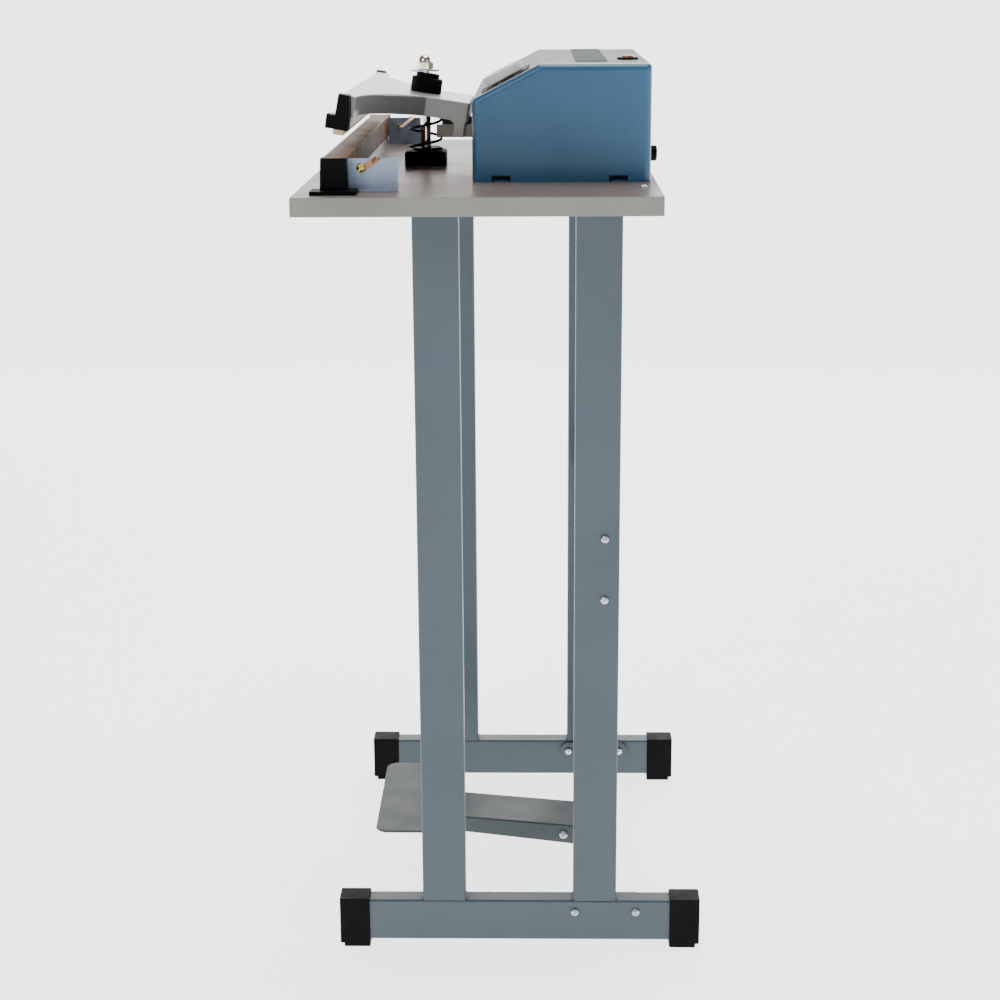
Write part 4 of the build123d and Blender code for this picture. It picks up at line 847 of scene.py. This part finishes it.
def panel_matrix(x, off=0.0, up=0.0):
    """Frame on the panel: local X along X, local Y up the slant."""
    turn = Matrix((Vector((1, 0, 0)), panel_up, panel_normal)).transposed().to_4x4()
    return Matrix.Translation(on_panel(x, up, off)) @ turn


def timer_knob():
    """Moulded knob: fine flutes round the skirt, a dished top and a pointer groove."""
    r, h, lift, edge = 0.023, 0.010, 0.0025, 0.0021
    flute_from, flute_depth, flute_count = 0.0195, 0.00032, 48

    def flutes(turn, radius, _height):
        share = min(max((radius - flute_from) / 0.002, 0.0), 1.0)
        return -flute_depth * share * (0.5 + 0.5 * math.cos(turn * flute_count)) ** 2

    profile = [(0.0, 0.0), (r - 0.0004, 0.0), (r, 0.0004)]
    profile += [(r, h * k / 8) for k in range(1, 6)]
    profile += arc(edge, (r - edge, h - edge), 0, 90, 9)
    profile += [(0.0185, h), (0.0178, h - 0.0004), (0.0170, h - 0.0007), (0.009, h - 0.0011),
                (0.0, h - 0.0012)]

    def mark(half, start, end, low, high):
        return prism([(-half, start), (half, start), (half, end), (-half, end)], low, high)

    body = boolean(lathe(profile, 384, flutes), mark(0.0006, 0.0120, 0.0215, h - 0.0016, 2 * h))
    spindle = lathe([(0.0, -0.014), (0.0029, -0.014), (0.003, -0.0136), (0.003, 0.0), (0.0, 0.0005)], 32)
    place = panel_matrix(knob_place.x, lift)
    piece("knob", placed(joined(body, spindle), place), "timer_knob", "knob_grey",
          stands_for=("timer_knob",), degrees=40)
    inlay = mark(0.0005, 0.0122, 0.0205, h - 0.0016, h - 0.0009)
    piece("knob_pointer", placed(inlay, place), "timer_knob", "dial_black")


timer_knob()


def flat_text(word, size):
    """Mesh of a short numeral, centred, in local XY."""
    curve = bpy.data.curves.new("numeral", "FONT")
    curve.body = word
    curve.size = size
    curve.align_x = "CENTER"
    curve.align_y = "CENTER"
    curve.extrude = 0.00006
    obj = bpy.data.objects.new("numeral", curve)
    bpy.context.scene.collection.objects.link(obj)
    mesh = obj.evaluated_get(bpy.context.evaluated_depsgraph_get()).to_mesh()
    verts = [v.co.copy() for v in mesh.vertices]
    faces = [tuple(f.vertices) for f in mesh.polygons]
    bpy.data.objects.remove(obj)
    return verts, faces


def dial_print():
    """Tick marks and numerals printed round the timer knob."""
    made = []
    ticks, numbers, start, sweep = 40, 9, 225, 270
    inner, print_height, plate = 0.0243, 0.00008, 0.001
    for k in range(ticks + 1):
        angle = math.radians(start - sweep * k / ticks)
        outer, half = (0.0262, 0.00022) if k % 5 == 0 else (0.0254, 0.00012)
        tick = prism([(inner, -half), (outer, -half), (outer, half), (inner, half)], 0.0, print_height)
        made.append(placed(tick, panel_matrix(knob_place.x, plate) @ Matrix.Rotation(angle, 4, "Z")))
    for k in range(numbers):
        angle = math.radians(start - sweep * k / (numbers - 1))
        reach = 0.0345 if abs(math.cos(angle)) > 0.6 else 0.0272
        spot = (reach * math.cos(angle), min(max(reach * math.sin(angle), -0.0262), 0.0270))
        if abs(spot[1]) > 0.0260:
            continue
        word = flat_text(str(k), 0.0042)
        matrix = panel_matrix(knob_place.x, plate + 0.00004) @ Matrix.Translation((*spot, 0))
        made.append(placed(word, matrix))
    piece("dial_print", joined(*made), "stand", "dial_black", look="dial_white")


dial_print()


def lamp():
    """Ribbed pilot lens in a plated bezel."""
    x = middle("indicator_lamp").x
    ring = lathe([(0.0048, 0.0), (0.0060, 0.0), (0.0060, 0.0010), (0.0056, 0.0016), (0.0049, 0.0016),
                  (0.0048, 0.0)], 56)
    piece("lamp_bezel", placed(ring, panel_matrix(x)), "stand", "zinc_plated", look="chrome_plated")
    lens_radius, rise, wall, rib_depth, rib_count = 0.0047, 0.0026, 0.0014, 0.00018, 20

    def ribs(turn, radius, _height):
        return -rib_depth * (0.5 + 0.5 * math.cos(turn * rib_count)) * min(radius / 0.0045, 1.0)

    lens = [(0.0, -0.018), (0.0036, -0.018), (0.0038, -0.0176), (0.0038, 0.0), (lens_radius, 0.0001),
            (lens_radius, wall)]
    lens += [(lens_radius * math.cos(math.radians(a)), wall + rise * math.sin(math.radians(a)))
             for a in range(10, 90, 10)] + [(0.0, wall + rise)]
    piece("lamp_lens", placed(lathe(lens, 160, ribs), panel_matrix(x)), "stand", "lamp_red",
          stands_for=("indicator_lamp",), degrees=50)


lamp()


def fuse():
    """Panel fuse holder: black knurled ring round an amber cap with a slot."""
    centre = middle("fuse_holder")
    knurled_from, knurl_depth, knurl_count, slot_half = 0.0112, 0.0004, 28, 0.0007
    cap_spin = 0.5

    def knurl(turn, radius, _height):
        if radius <= knurled_from:
            return 0.0
        return -knurl_depth * (0.5 + 0.5 * math.cos(turn * knurl_count)) ** 3

    ring = [(0.0075, 0.0), (0.0116, 0.0), (0.0120, 0.0004), (0.0120, 0.0017), (0.0112, 0.0025),
            (0.0085, 0.0025), (0.0078, 0.0019), (0.0075, 0.0019), (0.0075, 0.0)]
    stem = [(0.0, -0.028), (0.0055, -0.028), (0.0060, -0.0275), (0.0060, 0.0), (0.0076, 0.0002),
            (0.0, 0.0003)]
    black = joined(lathe(ring, 224, knurl), lathe(stem, 48))
    place = Matrix.Translation((centre.x, centre.y, case_top))
    piece("fuse_ring", placed(black, place), "stand", "black_plastic", stands_for=("fuse_holder",),
          degrees=40)
    cap = [(0.0, 0.0002), (0.0072, 0.0002), (0.0072, 0.0036), (0.0068, 0.0044), (0.0058, 0.0049),
           (0.0, 0.0050)]
    slot = prism([(-0.009, -slot_half), (0.009, -slot_half), (0.009, slot_half), (-0.009, slot_half)],
                 0.0036, 0.01)
    piece("fuse_cap", placed(boolean(lathe(cap, 64), slot), place @ Matrix.Rotation(cap_spin, 4, "Z")),
          "stand", "amber_cap", degrees=40)


fuse()


# ------------------------------------------------------------------ welds
def bead(start, end, radius):
    """One lumpy run of weld between two points."""
    start, end = Vector(start), Vector(end)
    ripple_pitch, thin_end = 0.0011, 0.45
    steps = max(int((end - start).length / ripple_pitch), 4)
    points = [start.lerp(end, k / steps) for k in range(steps + 1)]
    seed = start.x * 31 + start.y * 17 + start.z * 7

    def swell(k):
        ends = min(1.0, thin_end + 0.4 * k, thin_end + 0.4 * (steps - k))
        return ends * (1.0 + 0.14 * math.sin(k * 2.1) + 0.18 * noise.noise(Vector((seed, k * 0.35, 0))))

    return tube_along(points, radius, 10, scale=swell)


def welds():
    """Beads where the posts meet the foot bars and the plates, and round the cross members' flanges."""
    made = []
    foot_top, post_top = (corner.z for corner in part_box("front_post_left"))
    half_x, half_y, end_gap = TUBE.x / 2 - 0.0022, TUBE.y / 2, 0.003
    foot_bead, plate_bead, flange_bead = 0.0017, 0.0019, 0.0015
    cross_half, cross_flat = 0.0125, 0.0105
    for side in (-1, 1):
        x = side * FOOT_X
        for y in POST_Y:
            for end in (-1, 1):
                edge = y + end * half_y
                wall = x + end * TUBE.x / 2
                near, far = y - half_y + end_gap, y + half_y - end_gap
                made.append(bead((x - half_x, edge, foot_top), (x + half_x, edge, foot_top), foot_bead))
                made.append(bead((x - half_x, edge, post_top), (x + half_x, edge, post_top), plate_bead))
                made.append(bead((wall, near, post_top), (wall, far, post_top), plate_bead))
    for node in ("lower_cross_member", "rear_brace"):
        low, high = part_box(node)
        centre = (low + high) / 2
        for side in (-1, 1):
            face = side * ((high.x - low.x) / 2 - FLANGE)
            for end in (-1, 1):
                y, z = centre.y + end * cross_half, centre.z + end * cross_half
                runs = (((face, y, centre.z - cross_flat), (face, y, centre.z + cross_flat)),
                        ((face, centre.y - cross_flat, z), (face, centre.y + cross_flat, z)))
                made += [bead(first, last, flange_bead) for first, last in runs]
    piece("weld_beads", joined(*made), "stand", "stand_paint", degrees=60)


welds()


# ------------------------------------------------------------------ studio
STAGE_GREY, STAGE_ROUGH, STAGE_GLOW = (0.86, 0.86, 0.86), 0.9, 2.4


def studio_material(name, colour, roughness, glow):
    """Plain matt studio surface that glows a little, so that it stays pale."""
    made = bpy.data.materials.new(name)
    made.use_nodes = True
    shader = made.node_tree.nodes["Principled BSDF"]
    shader.inputs["Base Color"].default_value = (*colour, 1.0)
    shader.inputs["Roughness"].default_value = roughness
    shader.inputs["Specular IOR Level"].default_value = 0.1
    shader.inputs["Emission Color"].default_value = (1.0, 1.0, 1.0, 1.0)
    shader.inputs["Emission Strength"].default_value = glow
    return made


def studio():
    """Pale floor that runs to the horizon and curves up into the backdrop behind the object."""
    radius, front, back, top, half = 1.6, 60.0, -4.5, 4.5, 60.0
    line = [(front, 0.0), (front / 10, 0.0)]
    line += [(back + radius - radius * math.sin(math.radians(a)),
              radius - radius * math.cos(math.radians(a))) for a in range(0, 91, 6)]
    line.append((back, top))
    verts = [Vector((x, side * half, z)) for x, z in line for side in (-1, 1)]
    faces = [(2 * k, 2 * k + 1, 2 * k + 3, 2 * k + 2) for k in range(len(line) - 1)]
    data = bpy.data.meshes.new("studio_floor")
    data.from_pydata([tuple(v) for v in verts], [], faces)
    for face in data.polygons:
        face.use_smooth = True
    data.materials.append(studio_material("studio_white", STAGE_GREY, STAGE_ROUGH, STAGE_GLOW))
    floor = bpy.data.objects.new("studio_floor", data)
    bpy.context.scene.collection.objects.link(floor)


studio()


def softbox(name, place, aim, size, power, colour=(1, 1, 1)):
    """Rectangular area light pointed at a place."""
    light = bpy.data.lights.new(name, "AREA")
    light.shape = "RECTANGLE"
    light.size, light.size_y = size
    light.energy = power
    light.color = colour
    obj = bpy.data.objects.new(name, light)
    obj.location = place
    obj.rotation_euler = (Vector(aim) - Vector(place)).to_track_quat("-Z", "Y").to_euler()
    bpy.context.scene.collection.objects.link(obj)


# place, what it aims at, size and watts of each soft light
softbox("key", (2.4, -1.5, 2.6), (0.0, 0.0, 0.8), (1.6, 1.6), 42.0)
softbox("fill", (2.4, 2.2, 1.7), (0.0, 0.0, 0.6), (1.8, 1.8), 14.0, (0.96, 0.98, 1.0))
softbox("top", (-0.5, 0.2, 2.9), (0.0, 0.0, 0.8), (1.8, 1.4), 26.0)
softbox("strip", (0.15, 0.12, 2.3), (0.15, 0.1, 1.0), (0.7, 0.45), 9.0)
softbox("rear", (-2.2, 0.6, 2.1), (0.0, 0.0, 0.8), (2.0, 1.2), 14.0)

AIR_COLOUR, AIR_STRENGTH = (0.95, 0.97, 1.0, 1.0), 0.2
world = bpy.data.worlds.new("studio_air")
world.use_nodes = True
air = world.node_tree.nodes["Background"].inputs
air["Color"].default_value = AIR_COLOUR
air["Strength"].default_value = AIR_STRENGTH
bpy.context.scene.world = world


CAMERA_PLACE = (2.32945, 0.03215, 1.10493)
CAMERA_PITCH, CAMERA_YAW, CAMERA_ROLL = 15.190448, -1.163505, -0.332995  # degrees
CAMERA_LENS, CAMERA_SENSOR, CAMERA_REACH = 70.2, 36.0, 50.0


def camera():
    """Camera at the photograph's place."""
    pitch, yaw, roll = (math.radians(a) for a in (CAMERA_PITCH, CAMERA_YAW, CAMERA_ROLL))
    level = math.cos(pitch)
    ahead = Vector((-level * math.cos(yaw), level * math.sin(yaw), -math.sin(pitch)))
    right = ahead.cross(Vector((0, 0, 1))).normalized()
    up = right.cross(ahead)
    across = math.cos(roll) * right + math.sin(roll) * up
    above = -math.sin(roll) * right + math.cos(roll) * up
    lens = bpy.data.cameras.new("camera")
    lens.lens = CAMERA_LENS
    lens.sensor_width = CAMERA_SENSOR
    lens.clip_end = CAMERA_REACH
    obj = bpy.data.objects.new("camera", lens)
    turn = Matrix((across, above, -ahead)).transposed().to_4x4()
    obj.matrix_world = Matrix.Translation(CAMERA_PLACE) @ turn
    bpy.context.scene.collection.objects.link(obj)
    bpy.context.scene.camera = obj


camera()
